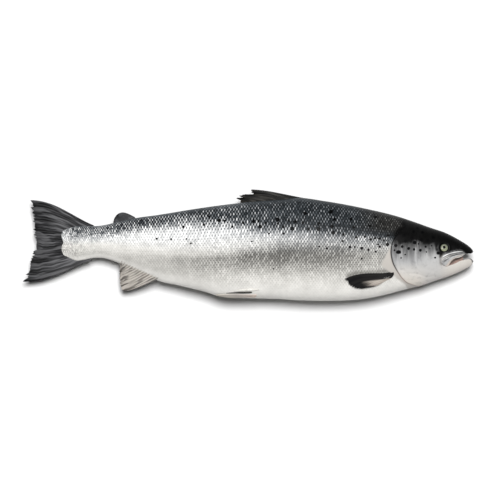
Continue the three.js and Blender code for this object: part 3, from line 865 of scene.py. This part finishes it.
def middleFin(name):
    form = finForms[name]
    span = math.dist(form["root"][0], form["edge"][0])
    sag = form["sag"] * span
    return makeFin(name, form, lambda behind, height, out: bodyForm["middle"](behind) - sag * out * out)


def pairedFin(name, side, sideName):
    form = finForms[name]

    def middleAt(behind, height, out):  # the root is sunk in the flank, and the fin lifts off it
        off = (form["lift"] + finSunk) * smooth(out, 0.1, 1) - finSunk
        return onFlank(behind, height, side, off)

    return makeFin(name + sideName, form, middleAt)


fins = {name: middleFin(name) for name in ("tailFin", "dorsalFin", "adiposeFin", "analFin")}
for pairName in ("pectoralFin", "pelvicFin"):
    for side, sideName in flanks:
        fins[pairName + sideName] = pairedFin(pairName, side, sideName)
print("fins:", sorted(fins))


class Value:  # a socket of a shader tree, with arithmetic that adds Math nodes
    def __init__(self, finish, socket):
        self.finish = finish
        self.socket = socket

    def __add__(self, other):
        return self.finish.math("ADD", self, other)

    def __radd__(self, other):
        return self.finish.math("ADD", other, self)

    def __sub__(self, other):
        return self.finish.math("SUBTRACT", self, other)

    def __rsub__(self, other):
        return self.finish.math("SUBTRACT", other, self)

    def __mul__(self, other):
        return self.finish.math("MULTIPLY", self, other)

    def __rmul__(self, other):
        return self.finish.math("MULTIPLY", other, self)

    def __truediv__(self, other):
        return self.finish.math("DIVIDE", self, other)

    def __rtruediv__(self, other):
        return self.finish.math("DIVIDE", other, self)

    def __pow__(self, other):
        return self.finish.math("POWER", self, other)

    def least(self, other):
        return self.finish.math("MINIMUM", self, other)

    def most(self, other):
        return self.finish.math("MAXIMUM", self, other)

    def whole(self):
        return self.finish.math("FLOOR", self)

    def part(self):
        return self.finish.math("FRACT", self)

    def hill(self, centre, width):  # 1 at the centre, and less on both sides of it
        away = (self - centre) / width
        return 1 / (1 + away * away * away * away + away * away)

    def smooth(self, start, end):
        settings = {"interpolation_type": "SMOOTHSTEP"}
        low, high = (start, end) if start < end else (end, start)
        inputs = {"Value": self, "From Min": low, "From Max": high, "To Min": 0, "To Max": 1}
        eased = self.finish.node("ShaderNodeMapRange", settings, inputs)
        return eased if start < end else 1 - eased


class Finish:  # one material and its shader tree
    def __init__(self, name):
        self.material = bpy.data.materials.new(name)
        self.material.use_nodes = True
        self.tree = self.material.node_tree
        self.shader = self.tree.nodes["Principled BSDF"]

    def node(self, kind, settings=None, inputs=None, output=0):
        made = self.tree.nodes.new(kind)
        for name, value in (settings or {}).items():
            if name == "stops":
                self.setStops(made.color_ramp, value)
            else:
                setattr(made, name, value)
        for name, value in (inputs or {}).items():
            self.feed(made.inputs[name], value)
        return Value(self, made.outputs[output])

    def math(self, operation, *values):
        return self.node("ShaderNodeMath", {"operation": operation}, dict(enumerate(values)))

    def feed(self, socket, value):
        if isinstance(value, Value):
            self.tree.links.new(value.socket, socket)
        else:
            socket.default_value = value

    def setStops(self, ramp, stops):
        while len(ramp.elements) < len(stops):
            ramp.elements.new(1)
        for element, (place, colour) in zip(ramp.elements, stops):
            element.position = place
            element.color = colour

    def set(self, **inputs):
        names = {"baseColour": "Base Color", "coat": "Coat Weight", "coatRoughness": "Coat Roughness",
                 "specular": "Specular IOR Level"}
        for name, value in inputs.items():
            self.feed(self.shader.inputs[names.get(name, name.title())], value)

    def field(self, name):
        return self.node("ShaderNodeAttribute", {"attribute_name": name}, {}, "Fac")

    def objectPlace(self):
        return self.node("ShaderNodeTexCoord", {}, {}, "Object")

    def flatMap(self):
        return self.node("ShaderNodeUVMap")

    def vector(self, x=0.0, y=0.0, z=0.0):
        return self.node("ShaderNodeCombineXYZ", {}, {"X": x, "Y": y, "Z": z})

    def axis(self, vector, name):
        return self.node("ShaderNodeSeparateXYZ", {}, {0: vector}, name)

    def stretched(self, place, scale, turned=0.0):
        inputs = {"Vector": place, "Scale": scale, "Rotation": (0, 0, turned)}
        return self.node("ShaderNodeMapping", {}, inputs)

    def noise(self, place, scale, detail=2.0, roughness=0.5):
        inputs = {"Vector": place, "Scale": scale, "Detail": detail, "Roughness": roughness}
        return self.node("ShaderNodeTexNoise", {}, inputs, "Fac")

    def dice(self, place):  # an even random number for each whole place
        return self.node("ShaderNodeTexWhiteNoise", {"noise_dimensions": "3D"}, {"Vector": place}, "Value")

    def mix(self, share, first, second):  # of two colours
        settings = {"data_type": "RGBA", "clamp_factor": True}
        made = self.node("ShaderNodeMix", settings, {}, 2)
        inputs = made.socket.node.inputs
        for index, value in ((0, share), (6, first), (7, second)):
            self.feed(inputs[index], value)
        return made

    def ramp(self, share, stops):
        stops = [(place, shade(*colour)) for place, colour in stops]
        return self.node("ShaderNodeValToRGB", {"stops": stops}, {"Fac": share}, "Color")

    def bump(self, height, distance, strength=1.0, normal=None):
        inputs = {"Height": height, "Distance": distance, "Strength": strength}
        if normal is not None:
            inputs["Normal"] = normal
        return self.node("ShaderNodeBump", {}, inputs)


tableWhite = 0.62  # the share of light that the table gives back, which is lit until it shows as white
fullWhite = 0.775  # and the share that the whitest colour of the fish gives back


def shade(red, green, blue):  # a colour as it should look on a screen, from 0 to 255
    shown = [v / 255 for v in (red, green, blue)]
    straight = [v / 12.92 if v <= 0.04045 else ((v + 0.055) / 1.055) ** 2.4 for v in shown]
    return tuple(v * fullWhite for v in straight) + (1.0,)


skinRamps = {
    # from black to white, over the back and under the lateral line
    "cool": [(0.0, (6, 7, 9)), (0.25, (59, 64, 68)), (0.5, (125, 128, 131)), (0.75, (191, 192, 192)),
             (1.0, (254, 254, 253))],
    "warm": [(0.0, (9, 8, 7)), (0.25, (65, 63, 60)), (0.5, (129, 128, 124)), (0.75, (194, 192, 187)),
             (1.0, (254, 252, 247))],
    # the head without its crown, from the throat up, as (height in tenths of a metre over -0.75, colour)
    "head": [(0.0, (216, 209, 197)), (0.2, (213, 207, 199)), (0.34, (202, 199, 195)), (0.5, (172, 172, 172)),
             (0.62, (132, 132, 132)), (0.7, (104, 104, 104)), (0.8, (78, 78, 78))],
}
skinPaints = {  # what is laid over that, as a colour and how fully it covers
    "pores": ((110, 111, 112), 0.16),
    # painted shade in the slit over the pelvic fin's root
    "slit": ((36, 32, 28), 0.95),
    "cheekLight": ((190, 189, 188), 0.6),
    # a painted highlight along the cheek plate's edge, and painted shade behind it and at the gill cover's
    # edge
    "cheekEdgeHighlight": ((214, 214, 214), 0.4),
    "cheekShade": ((88, 88, 90), 0.3),
    "gillShade": ((62, 63, 66), 0.5),
    "streakLight": ((206, 206, 206), 1.0),
    "streakDark": ((66, 66, 68), 1.0),
    "headFlecks": ((88, 88, 90), 0.22),
    "finShade": ((80, 78, 72), 0.6),
    "finRoot": ((10, 10, 12), 1.0),
    "shoulder": ((186, 181, 175), 1.0),
    "crown": ((6, 6, 6), 1.0),
    "crownSheen": ((22, 22, 22), 0.5),
    "spot": ((3, 3, 4), 1.0),
    "jawCream": ((214, 208, 200), 0.8),
    "chin": ((46, 47, 50), 0.85),
}
gapColours = {"dark": (12, 12, 13), "pink": (176, 140, 126)}  # of the gap under the gill cover's edge: painted shade in the gap, and the gill's own pink towards the throat
# where each shows, as the fields that it depends on, each with the start and the end of a soft edge: behind
# and height are in tenths of a metre, tone runs from -1 on the belly to 1 on the back, and the other fields
# are in millimetres, or in radii or half widths of a spot or slit
skinRegions = {
    "scales": [("pastGill", 1, 6), ("shoulder", 1.5, -2.5)],
    "ridge": [("tone", 0.86, 0.97)],
    "flankStreaks": [("behind", 3.4, 4.4), ("tone", -0.5, -0.3), ("tone", 0.25, 0.05)],
    "tailSpecks": [("behind", 5.4, 6.3)],
    "warmBelly": [("tone", 0.08, -0.35)],
    "warmNape": [("behind", 2.1, 1.5), ("tone", 0.1, 0.4)],
    "poreLine": [("behind", 6.9, 6.4)],
    "slit": [("slit", 1.25, 0.7)],
    "cheekLight": [("behind", 1.0, 0.78), ("height", 0.0, -0.22)],
    "cheekEdgeHighlight": [("height", -0.45, -0.2), ("height", 0.02, -0.1)],
    "gillShade": [("height", -0.42, -0.1)],
    "upperHead": [("height", -0.4, -0.1)],
    "head": [("pastGill", 0.6, -0.2)],
    "trunk": [("pastGill", -0.2, 0.6)],
    "finShade": [("finShade", 8.5, 0.5), ("pastGill", -0.2, 0.6)],
    "finRoot": [("finRoot", 4.4, 3.2)],
    "softCrown": [("behind", 0.62, 0.8)],
    "crownSheen": [("height", 0.12, 0.5), ("crown", 2, 8)],
    "jawCream": [("behind", 0.66, 0.36), ("height", -0.1, -0.2)],
    "gapPink": [("height", -0.35, -0.52)],
    "gapDeep": [("height", -0.5, -0.3)],
    "chin": [("chin", 2.2, 0.7)],
    "wet": [("shine", 0.35, 0.8)],
    "relief": [("tone", -0.95, -0.4)],
}
skinLook = {
    # noises of the skin, as (how many to the metre, detail, roughness)
    "broad": (22, 3, 0.5), "patchy": (45, 3, 0.6), "fine": (160, 3, 0.5), "speckle": (300, 2, 0.65),
    "grain": (620, 2, 0.6), "rowsBroad": (30, 2, 0.5), "rowsFine": (190, 2, 0.5), "leaning": (15, 1, 0.5),
    # how far the rows of scales stray, in scales: over a hand's width, and from scale to scale
    "alongBend": 0.5, "alongStray": 0.26, "rowBend": 0.24, "rowStray": 0.22,
    # the bright middle of a scale, its own silver with a painted glint on it: its place on the way from the
    # front to the hind corner, how much it is drawn out and leans, how large it is on black skin, how it
    # grows with the lightness, and its soft edge
    "middle": 0.86, "long": 1.3, "wide": 0.85, "lean": 0.9, "size": 0.45, "growth": 0.7, "blur": 0.36,
    # how bright its painted glint is, how much that differs between scales, and its mean over a scale, which
    # is taken off
    "glow": 0.75, "glintSpread": 1.15, "mean": (0.14, 0.85, -0.29),
    # uneven lightness: in clouds, in patches, from scale to scale, in grains, in streaks and in flecks, and a
    # painted highlight along the back's ridge
    "clouds": 0.06, "patches": 0.14, "luck": 0.2, "fines": 0.06, "grains": 0.8, "streaks": 0.2,
    "specks": 0.65, "tailSpecks": 1.2, "ridge": 0.02, "napeWarmth": 0.8, "streakStretch": (5, 130, 40),
    "headStreaks": [(0.0, (60, 9, 20), 0.3), (0.7, (70, 12, 20), 0.35)],  # (turn, stretch, strength)
    # edges of the crown, the spots and the shoulder: how ragged, and where they start and end
    "crownRagged": (9, 8), "crownSoft": 3.5, "coreSoft": 0.4,
    "crownCore": (-3, 3, 0.55), "crownRim": (-7, 4, 0.44),
    "spotRagged": 0.5, "spotEdge": (1.24, 0.94), "shoulderRagged": 4, "shoulderEdge": (-2.2, 2.4),
    "rough": 0.4, "roughScales": 0.14, "roughFine": 0.12, "wet": 0.22,
    "scaleRelief": (0.0005, 0.8), "skinRelief": (0.0004, 0.3), "edgeRelief": 0.2,
}
headLook = {
    "from": -0.75, "clouds": 0.12, "flecks": (0.0, 0.25),
    "streakLight": (0.5, 0.75), "streakDark": (0.5, 0.25),
    # painted highlight and painted shade along the cheek plate's edge, and painted shade along the gill
    # cover's edge and in the gap under it, as (how far behind their edge, width)
    "cheekEdgeHighlight": (-1.0, 2.4), "cheekShade": (5.0, 3.6), "gillShade": (-1.2, 3.2), "gap": (0.4, 1.3),
    "gapLeast": 0.45, "gapMore": 0.5,
}
poreWidth = 0.0008  # of the line of pores along the flank, as a share of the flank, squared


def skinFinish():
    f, look = Finish("salmonSkin"), skinLook
    place = f.objectPlace()
    fields = {name: f.field(name) for name in skinFields}
    shine, contrast, tone = fields["shine"], fields["contrast"], fields["tone"]
    pastGill, pastCheek, gillLine = fields["pastGill"], fields["pastCheek"], fields["gillLine"]

    def unevenly(name):  # a noise round 0
        return f.noise(place, *look[name]) - 0.5

    def region(name):  # 1 where something shows in full, and 0 where it doesn't
        edges = [fields[field].smooth(start, end) for field, start, end in skinRegions[name]]
        share = edges[0]
        for edge in edges[1:]:
            share = share * edge
        return share

    def paint(under, name, share):
        colour, strength = skinPaints[name]
        return f.mix(share * strength, under, shade(*colour))

    broad, patchy, fine, speckle, grain = map(unevenly, ("broad", "patchy", "fine", "speckle", "grain"))

    # scales: diamonds on slanting rows, each with a rim on its hind edges and a bright middle with a painted
    # glint
    along = fields["along"] + broad * look["alongBend"] + fine * look["alongStray"]
    rows = fields["rows"] + unevenly("rowsBroad") * look["rowBend"] + unevenly("rowsFine") * look["rowStray"]
    first, second = along + rows, along - rows
    p, q = first.part(), second.part()
    luck = f.dice(f.vector(first.whole(), second.whole(), 0.0)) - 0.5
    glintLuck = f.dice(f.vector(second.whole(), first.whole(), 7.0)) - 0.5
    lean = unevenly("leaning") * look["lean"]  # in places one set of slanting lines shows more
    lengthwise = (p + q - look["middle"]) * look["long"]
    sideways = (p - q) * look["wide"] + lengthwise * lean
    fromMiddle = (lengthwise * lengthwise + sideways * sideways) ** 0.5
    scaled, ridge = region("scales"), region("ridge")

    # the darker the skin, the smaller the bright middle of its scales, where a painted glint shows
    base = shine + patchy * look["patches"] + broad * look["clouds"] + luck * contrast * look["luck"]
    size = base * look["growth"] + look["size"]
    glow = ((size - fromMiddle) / look["blur"]).most(0.0).least(1.0)
    glow = glow * glow * (3 - glow * 2)
    flat, sloped, bent = look["mean"]
    mean = base * sloped + base * base * bent + flat
    spark = glow * (look["glow"] + glintLuck * (look["glintSpread"] - base)) - mean
    specks = speckle * (region("tailSpecks") * look["tailSpecks"] + look["specks"])
    # ridge adds a painted highlight along the back's ridge
    level = base + contrast * (spark * scaled + grain * look["grains"] + specks) + ridge * look["ridge"]
    streaks = f.noise(f.stretched(place, look["streakStretch"]), 1, 2) - 0.5
    level = level + streaks * region("flankStreaks") * look["streaks"] + fine * look["fines"]
    level = level.most(0.0).least(1.0)
    warmth = region("warmBelly").most(region("warmNape") * look["napeWarmth"])
    skin = f.mix(warmth, f.ramp(level, skinRamps["cool"]), f.ramp(level, skinRamps["warm"]))
    poreLine = (tone * tone).smooth(poreWidth, 0.0)
    skin = paint(skin, "pores", poreLine * scaled * region("poreLine"))
    # painted shade in the slit over the pelvic fin's root
    skin = paint(skin, "slit", region("slit"))

    # head: silver-grey gill cover and cheek, cream throat
    form = headLook
    head = f.ramp(fields["height"] + broad * form["clouds"] - form["from"], skinRamps["head"])
    head = paint(head, "cheekLight", region("cheekLight"))
    # a painted highlight along the cheek plate's edge and painted shade behind it, in the same band of
    # heights
    cheekEdgeHighlight = region("cheekEdgeHighlight")
    head = paint(head, "cheekEdgeHighlight", pastCheek.hill(*form["cheekEdgeHighlight"]) * cheekEdgeHighlight)
    head = paint(head, "cheekShade", pastCheek.hill(*form["cheekShade"]) * cheekEdgeHighlight)
    gillShade = pastGill.hill(*form["gillShade"]) * gillLine
    head = paint(head, "gillShade", gillShade * region("gillShade"))
    upper = region("upperHead")
    for turned, stretch, strength in look["headStreaks"]:
        streaks = f.noise(f.stretched(place, stretch, turned), 3, 3)
        for name in ("streakLight", "streakDark"):
            head = paint(head, name, streaks.smooth(*form[name]) * upper * strength)
    head = paint(head, "headFlecks", fine.smooth(*form["flecks"]))
    skin = f.mix(region("head"), skin, head)

    # marks: painted shadow along the breast fin, the cream shoulder, the nearly black crown, spots and the
    # jaw
    skin = paint(skin, "finShade", region("finShade"))
    skin = paint(skin, "finRoot", region("finRoot"))
    shoulder = fields["shoulder"] + fine * look["shoulderRagged"]
    skin = paint(skin, "shoulder", shoulder.smooth(*look["shoulderEdge"]) * region("trunk"))
    raggedFine, raggedPatchy = look["crownRagged"]
    crownEdge = fields["crown"] + fine * raggedFine + patchy * raggedPatchy
    soften = region("softCrown") * look["crownSoft"]
    (coreFrom, coreTo, core), (rimFrom, rimTo, rim) = look["crownCore"], look["crownRim"]
    crown = (crownEdge + soften * look["coreSoft"]).smooth(coreFrom, coreTo) * core
    crown = crown + (crownEdge + soften).smooth(rimFrom, rimTo) * rim
    skin = paint(skin, "crown", crown)
    skin = paint(skin, "crownSheen", region("crownSheen"))
    spots = (fields["spot"] + (grain + fine) * look["spotRagged"]).smooth(*look["spotEdge"])
    skin = paint(skin, "spot", spots)
    skin = paint(skin, "jawCream", region("jawCream"))
    # painted shade in the gap under the gill cover's edge, which turns to the gill's own pink towards the
    # throat
    gap = pastGill.hill(*form["gap"]) * gillLine * (form["gapLeast"] + form["gapMore"] * region("gapDeep"))
    gapColour = f.mix(region("gapPink"), shade(*gapColours["dark"]), shade(*gapColours["pink"]))
    skin = f.mix(gap, skin, gapColour)
    skin = paint(skin, "chin", region("chin"))  # the lower jaw's dark tip

    rough = look["rough"] + luck * scaled * look["roughScales"] + fine * look["roughFine"]
    wet = region("wet") * (1 - crown) * (1 - spots) * look["wet"]
    f.set(baseColour=skin, roughness=rough, metallic=0.0, specular=0.05, coat=wet, coatRoughness=0.2)
    low = look["edgeRelief"]
    relief = glow * scaled * (region("relief") * (1 - low) + low) * (1 - ridge)
    f.set(normal=f.bump(relief, *look["scaleRelief"], f.bump(fine, *look["skinRelief"])))
    return f.material


# of each fin: colours from the root to the edge, of the light rays and the dark skin between them, how much
# both show, how light the lower part is, and how black the leading edge and the tip are
finLooks = {
    "tailFin": {
        "stops": [(0.0, (44, 45, 47)), (0.25, (34, 34, 36)), (0.6, (30, 30, 32)), (1.0, (22, 22, 24))],
        "ray": (108, 108, 110), "web": (5, 5, 6), "light": 1.0, "deep": 1.0, "lower": 0.5, "black": 0.0,
    },
    "dorsalFin": {
        "stops": [(0.0, (20, 20, 20)), (0.4, (22, 22, 21)), (1.0, (27, 26, 24))],
        "ray": (62, 60, 56), "web": (4, 4, 4), "light": 1.0, "deep": 1.0, "lower": 0.0, "black": 0.0,
    },
    "adiposeFin": {
        "stops": [(0.0, (52, 53, 55)), (0.5, (44, 45, 47)), (1.0, (28, 29, 31))],
        "ray": (86, 88, 91), "web": (22, 23, 26), "light": 0.7, "deep": 0.7, "lower": 0.0, "black": 0.0,
    },
    "analFin": {
        "stops": [
            (0.0, (204, 200, 193)), (0.45, (186, 181, 174)), (0.75, (170, 164, 157)), (1.0, (172, 165, 158))],
        "ray": (212, 206, 198), "web": (62, 58, 55), "light": 0.5, "deep": 0.9, "lower": 0.0, "black": 0.0,
    },
    "pectoralFin": {
        "stops": [(0.0, (182, 173, 163)), (0.5, (173, 164, 155)), (1.0, (140, 132, 125))],
        "ray": (199, 192, 183), "web": (89, 84, 79), "light": 0.7, "deep": 0.7, "lower": 0.0, "black": 0.97,
    },
    "pelvicFin": {
        "stops": [
            (0.0, (206, 193, 184)), (0.45, (175, 169, 164)), (0.8, (208, 203, 193)), (1.0, (216, 210, 199))],
        "ray": (216, 210, 201), "web": (140, 134, 128), "light": 0.5, "deep": 0.5, "lower": 0.0, "black": 0.0,
    },
}
finBlack = (13, 14, 17)
# broad and thin streaks, each with its stretch over the fin, its detail, and the soft edges and strengths of
# its light and dark parts
finStreaks = {
    "broad": {"stretch": (0.7, 1.7, 1), "detail": 1, "light": (0.5, 0.6, 0.75), "dark": (0.49, 0.39, 1.0)},
    "thin": {"stretch": (1.9, 2.6, 1), "detail": 2, "light": (0.53, 0.64, 0.45), "dark": (0.47, 0.36, 0.5)},
}
finStray = {"size": 2.2, "width": 0.12}  # how the streaks wander from the rays, in shares of the fin
# where the lower part starts, how much the rays fade to the edge, and how dark the skin is at the root
finFades = {"lower": (0.62, 0.95), "lightLoss": 0.6, "deepRoot": 0.3, "clouds": 0.25}


def finFinish(name, look, rays):
    f, fade = Finish(name), finFades
    flat = f.flatMap()
    across, out = f.axis(flat, "X"), f.axis(flat, "Y")
    cloud = f.noise(f.objectPlace(), 45, 3) - 0.5
    wander = (f.noise(flat, finStray["size"], 2) - 0.5) * finStray["width"]
    bent = f.vector((across + wander) * max(rays, 6), out, 0.0)
    light = across.smooth(*fade["lower"]) * look["lower"]
    deep = 0.0
    for form in finStreaks.values():
        streak = f.noise(f.stretched(bent, form["stretch"]), 1, form["detail"])
        start, end, strength = form["light"]
        light = light + streak.smooth(start, end) * strength
        start, end, strength = form["dark"]
        deep = deep + streak.smooth(start, end) * strength
    base = f.ramp(out + cloud * fade["clouds"], look["stops"])
    light = light.least(1.0) * look["light"] * (1 - out * fade["lightLoss"])
    base = f.mix(light, base, shade(*look["ray"]))
    deep = deep.least(1.0) * look["deep"] * (fade["deepRoot"] + out * (1 - fade["deepRoot"]))
    base = f.mix(deep, base, shade(*look["web"]))
    if look["black"]:
        leading = (across - (1 - out) ** 3 * 0.45).smooth(0.42, 0.28)
        leading = leading.most(across.smooth(0.6, 0.35) * out.smooth(0.5, 0.85))
        tip = (out + (1 - across) * 0.2 + (streak - 0.5) * 0.3).smooth(0.68, 0.92)
        base = f.mix(leading.most(tip) * look["black"], base, shade(*finBlack))
    f.set(baseColour=base, roughness=0.44 + cloud * 0.2, metallic=0.0, specular=0.04, coat=0.03)
    f.set(coatRoughness=0.25, normal=f.bump(streak, 0.0006, 0.6))
    return f.material


# colours of the thin bones and lips, of the eyes and of the mouth's lining
smallColours = {
    "bone": (188, 188, 187), "boneCloud": (150, 150, 151), "boneEdge": (34, 34, 34),
    "boneCream": (212, 200, 190), "boneEnd": (112, 108, 106),
    "band": (228, 228, 227), "bandCloud": (180, 180, 180), "bandEdge": (60, 61, 62),
    "scale": (236, 234, 228), "scaleCloud": (214, 211, 203),
    "ring": (148, 151, 126), "ringTopShade": (74, 79, 72), "ringCloud": (124, 128, 108),
    "inner": (112, 118, 112), "innerRing": (214, 212, 176), "eyeRim": (18, 18, 19), "pupil": (3, 3, 4),
    # the mouth's lining: its own pink, darkened by painted shade for the inside of the mouth
    "lining": (140, 108, 94), "liningCloud": (104, 80, 70),
}
smallColours = {name: shade(*colour) for name, colour in smallColours.items()}


def jawBoneFinish():
    f, colours = Finish("jawBoneSilver"), smallColours
    across, share = f.field("across"), f.field("share")
    cloud = f.noise(f.objectPlace(), 160, 4, 0.6)
    base = f.mix(cloud.smooth(0.4, 0.7), colours["bone"], colours["boneCloud"])
    edge = across.smooth(-0.05, -0.5) * share.smooth(0.97, 0.75)
    base = f.mix(edge * 0.9, base, colours["boneEdge"])
    base = f.mix(across.smooth(0.35, 0.7), base, colours["boneCream"])
    base = f.mix(share.smooth(0.93, 1.0) * 0.7, base, colours["boneEnd"])
    return silverFinish(f, base, cloud)


def lipBandFinish():
    f, colours = Finish("lipBandSilver"), smallColours
    cloud = f.noise(f.objectPlace(), 160, 4, 0.6)
    base = f.mix(cloud.smooth(0.4, 0.7), colours["band"], colours["bandCloud"])
    base = f.mix(f.field("across").smooth(0.25, 0.75), base, colours["bandEdge"])
    return silverFinish(f, base, cloud)


def silverFinish(f, base, cloud):  # what the bone and the band of the upper jaw share
    f.set(baseColour=base, roughness=0.3 + cloud * 0.15, metallic=0.15, specular=0.4, coat=0.25)
    f.set(coatRoughness=0.15, normal=f.bump(cloud, 0.0005, 0.5))
    return f.material


def paleScaleFinish():
    f = Finish("paleScale")
    cloud = f.noise(f.objectPlace(), 200, 3)
    base = f.mix(cloud.smooth(0.4, 0.7), smallColours["scale"], smallColours["scaleCloud"])
    f.set(baseColour=base, roughness=0.35 + cloud * 0.1, metallic=0.1, coat=0.2, specular=0.4)
    f.set(coatRoughness=0.2, normal=f.bump(cloud, 0.0003, 0.4))
    return f.material


def eyeFinish():
    f, colours = Finish("wetEye"), smallColours
    away, centred, up = f.field("fromCentre"), f.field("fromPupil"), f.field("eyeUp")
    iris, pupil = eyeForm["iris"], eyeForm["pupil"]
    cloud = f.noise(f.objectPlace(), 420, 4, 0.6)
    # the iris gets darker towards its top, as painted shade
    ring = f.mix(up * 0.6 + 0.4, colours["ring"], colours["ringTopShade"])
    ring = f.mix(cloud.smooth(0.35, 0.7) * 0.4, ring, colours["ringCloud"])
    inner = f.mix(centred.smooth(pupil + 1.9, pupil + 0.3) * 0.6, ring, colours["inner"])
    inner = f.mix(centred.hill(pupil + 0.2, 0.45) * 0.45, inner, colours["innerRing"])
    eye = f.mix(away.smooth(iris - 0.3, iris + 0.3), inner, colours["eyeRim"])
    eye = f.mix(centred.smooth(pupil + 0.2, pupil - 0.2), eye, colours["pupil"])
    f.set(baseColour=eye, roughness=0.3 + cloud * 0.05, metallic=0.0, specular=0.1, coat=0.12)
    f.set(coatRoughness=0.06)
    return f.material


def mouthFinish():
    f = Finish("mouthLining")
    cloud = f.noise(f.objectPlace(), 120, 4, 0.6)
    base = f.mix(cloud.smooth(0.35, 0.7), smallColours["lining"], smallColours["liningCloud"])
    f.set(baseColour=base, roughness=0.4 + cloud * 0.12, metallic=0.0, specular=0.3, coat=0.15)
    f.set(coatRoughness=0.15, normal=f.bump(cloud, 0.0005, 0.6))
    return f.material


def kindOf(name):  # a piece's name without its flank
    return name.removesuffix("Right").removesuffix("Left")


faceKinds = np.zeros(len(body.data.polygons), int)
body.data.polygons.foreach_get("material_index", faceKinds)
giveFinish(body, skinFinish(), mouthFinish())
body.data.polygons.foreach_set("material_index", faceKinds)
for eye in eyes:
    giveFinish(eye, eyeFinish())
bladeFinishes = {"jawBone": jawBoneFinish(), "lipBand": lipBandFinish(), "pelvicScale": paleScaleFinish()}
for bladeName, blade in blades.items():
    giveFinish(blade, bladeFinishes[kindOf(bladeName)])
for finName, fin in fins.items():
    kind = kindOf(finName)
    giveFinish(fin, finFinish(finName + "Skin", finLooks[kind], finForms[kind]["rays"]))
print("finishes given")

# every piece is hung on the fish's body, and the imported salmon part is hidden
everyPiece = [body, *eyes, *blades.values(), *fins.values()]
for piece in everyPiece:
    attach(piece, "root")
    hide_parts("salmon")

studio = {
    "tableSize": 60, "world": 0.045,
    "sunPower": 5.4, "sunSpread": 24, "sunTilt": (-17, 3),
    "fillPower": 0.5, "fillSpread": 30, "fillTilt": (78, 0),
    "imageWidth": 0.85, "lens": 500, "aimBehind": 381.0, "aimHeight": -4.2, "aimDepth": 36,
}


def makeTable():
    clearSelection()
    bpy.ops.mesh.primitive_plane_add(size=studio["tableSize"], location=(0, 0, 0))
    table = newPiece("table")
    f = Finish("paleTable")
    f.set(baseColour=(tableWhite, tableWhite, tableWhite, 1), roughness=0.9, specular=0.05)
    giveFinish(table, f.material)


def makeLight():
    scene = bpy.context.scene
    scene.view_settings.view_transform = "Standard"
    world = bpy.data.worlds.new("studioAir")
    world.use_nodes = True
    air = world.node_tree.nodes["Background"]
    air.inputs["Color"].default_value = (1, 1, 1, 1)
    air.inputs["Strength"].default_value = studio["world"]
    scene.world = world
    for name in ("sun", "fill"):  # a soft light from above, and a low one that reaches under the belly
        light = bpy.data.lights.new(name, "SUN")
        light.energy = studio[name + "Power"]
        light.angle = math.radians(studio[name + "Spread"])
        lamp = bpy.data.objects.new(name, light)
        lamp.rotation_euler = [math.radians(v) for v in (*studio[name + "Tilt"], 0)]
        scene.collection.objects.link(lamp)


def makeCamera():
    data = bpy.data.cameras.new("overhead")
    data.lens = studio["lens"]
    data.sensor_width = 36
    camera = bpy.data.objects.new("overhead", data)
    aim = toWorld(*[np.array(float(studio[k])) for k in ("aimBehind", "aimHeight", "aimDepth")])
    away = studio["imageWidth"] * studio["lens"] / data.sensor_width
    camera.location = Vector(aim) + Vector((0, 0, away))
    bpy.context.scene.collection.objects.link(camera)
    bpy.context.scene.camera = camera


makeTable()
makeLight()
makeCamera()
print("studio ready")
